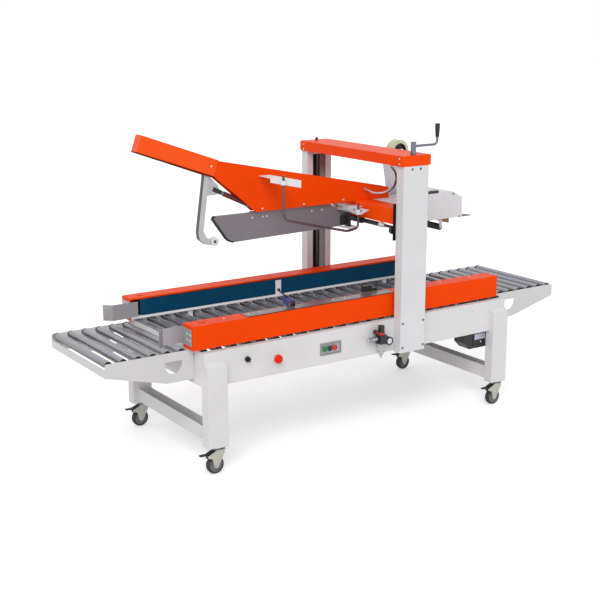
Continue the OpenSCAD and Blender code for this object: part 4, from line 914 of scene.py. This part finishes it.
regulator_y, inlet_z = -0.392, 0.482
regulator_look = finish("regulator_black", srgb(24, 24, 26), 0.4, mottle=0.06, broad=50.0)
red_ring, inlet_end, drain_top = (0.499, 0.511), 0.0355, 0.416
patch(regulator_look, srgb(196, 36, 30), 0.4, 0.0, z=red_ring)
patch(regulator_look, srgb(196, 196, 200), 0.28, 1.0, x=(-0.10, inlet_end))
coat(regulator_look, "air_regulator")
coat(black_plastic, "regulator_knob")
bowl_look = finish("clear_bowl", srgb(214, 218, 220), 0.12, mottle=0.02, broad=40.0)
bowl_clear = 0.55
bowl_shader = bowl_look.node_tree.nodes["Principled BSDF"]
bowl_shader.inputs["Transmission Weight"].default_value = bowl_clear
patch(bowl_look, srgb(190, 190, 194), 0.3, 1.0, z=(0.3, drain_top))
coat(bowl_look, "regulator_bowl")
form = bmesh.new()
turned(form, [(0.0, 0.0045), (0.0, 0.0150), (0.004, 0.0145), (0.022, 0.0062), (0.024, 0.0045)],
       (0.062, regulator_y, 0.4161), (0, 0, -1), 28)
piece("bowl_foot", form, pulley_look, "frame")
gauge_at = Vector((0.102, -0.406, 0.464))
form = bmesh.new()
turned(form, [(-0.001, 0.0205), (0.003, 0.0205), (0.0045, 0.0190), (0.0045, 0.0155), (0.0012, 0.0140)],
       gauge_at, (0, -1, 0), 40)
piece("gauge_bezel", form, black_plastic, "frame")
dial_look = finish("gauge_dial", srgb(226, 230, 236), 0.3, mottle=0.02, broad=60.0)
form = bmesh.new()
turned(form, [(0.0002, 0.0150), (0.0014, 0.0148), (0.0014, 0.0)], gauge_at, (0, -1, 0), 36)
piece("gauge_face", form, dial_look, "frame")
needle_look = finish("gauge_ink", srgb(40, 66, 128), 0.5, mottle=0.05, broad=60.0)
tick_in, tick_l, tick_r = 0.0105, 0.0028, 0.00035
form = bmesh.new()
for tick in range(11):
    turn = math.radians(225 - 27 * tick)
    out = Vector((math.cos(turn), 0, math.sin(turn)))
    tick_at = gauge_at + out * tick_in + Vector((0, -0.0015, 0))
    turned(form, [(0.0, tick_r), (tick_l, tick_r)], tick_at, out, 6)
turned(form, [(-0.004, 0.0007), (0.009, 0.0003)], gauge_at + Vector((0, -0.0021, 0)), (0.35, 0, 0.94), 6)
turned(form, [(0.0012, 0.0022), (0.0026, 0.0022), (0.0030, 0.0)], gauge_at, (0, -1, 0), 12)
piece("gauge_marks", form, needle_look, "frame")
form = bmesh.new()
turned(form, [(0.0, 0.0), (0.0, 0.0085), (0.003, 0.0100), (0.016, 0.0100), (0.018, 0.0080),
              (0.026, 0.0080), (0.028, 0.0115), (0.040, 0.0115), (0.042, 0.0085)],
       (-0.010, regulator_y, inlet_z), (1, 0, 0), 24)
piece("inlet_sleeve", form, chrome, "frame")
valve_at = (0.018, regulator_y, 0.517)
red_plastic = finish("red_plastic", srgb(190, 40, 44), 0.4, mottle=0.05, broad=60.0)
form = bmesh.new()
turned(form, [(0.0, 0.0), (0.0, 0.0045), (0.009, 0.0060), (0.010, 0.0)],
       (-0.019, regulator_y, inlet_z), (1, 0, 0), 18)
turned(form, [(0.008, 0.009), (0.008, 0.0115), (0.013, 0.0115), (0.013, 0.009)], valve_at, (1, 0, 0), 24)
piece("regulator_rings", form, red_plastic, "frame")
form = bmesh.new()
turned(form, [(0.0, 0.0), (0.0, 0.008), (0.002, 0.010), (0.016, 0.010), (0.018, 0.007),
              (0.030, 0.007)], valve_at, (1, 0, 0), 24)
piece("shut_off_valve", form, black_plastic, "frame")
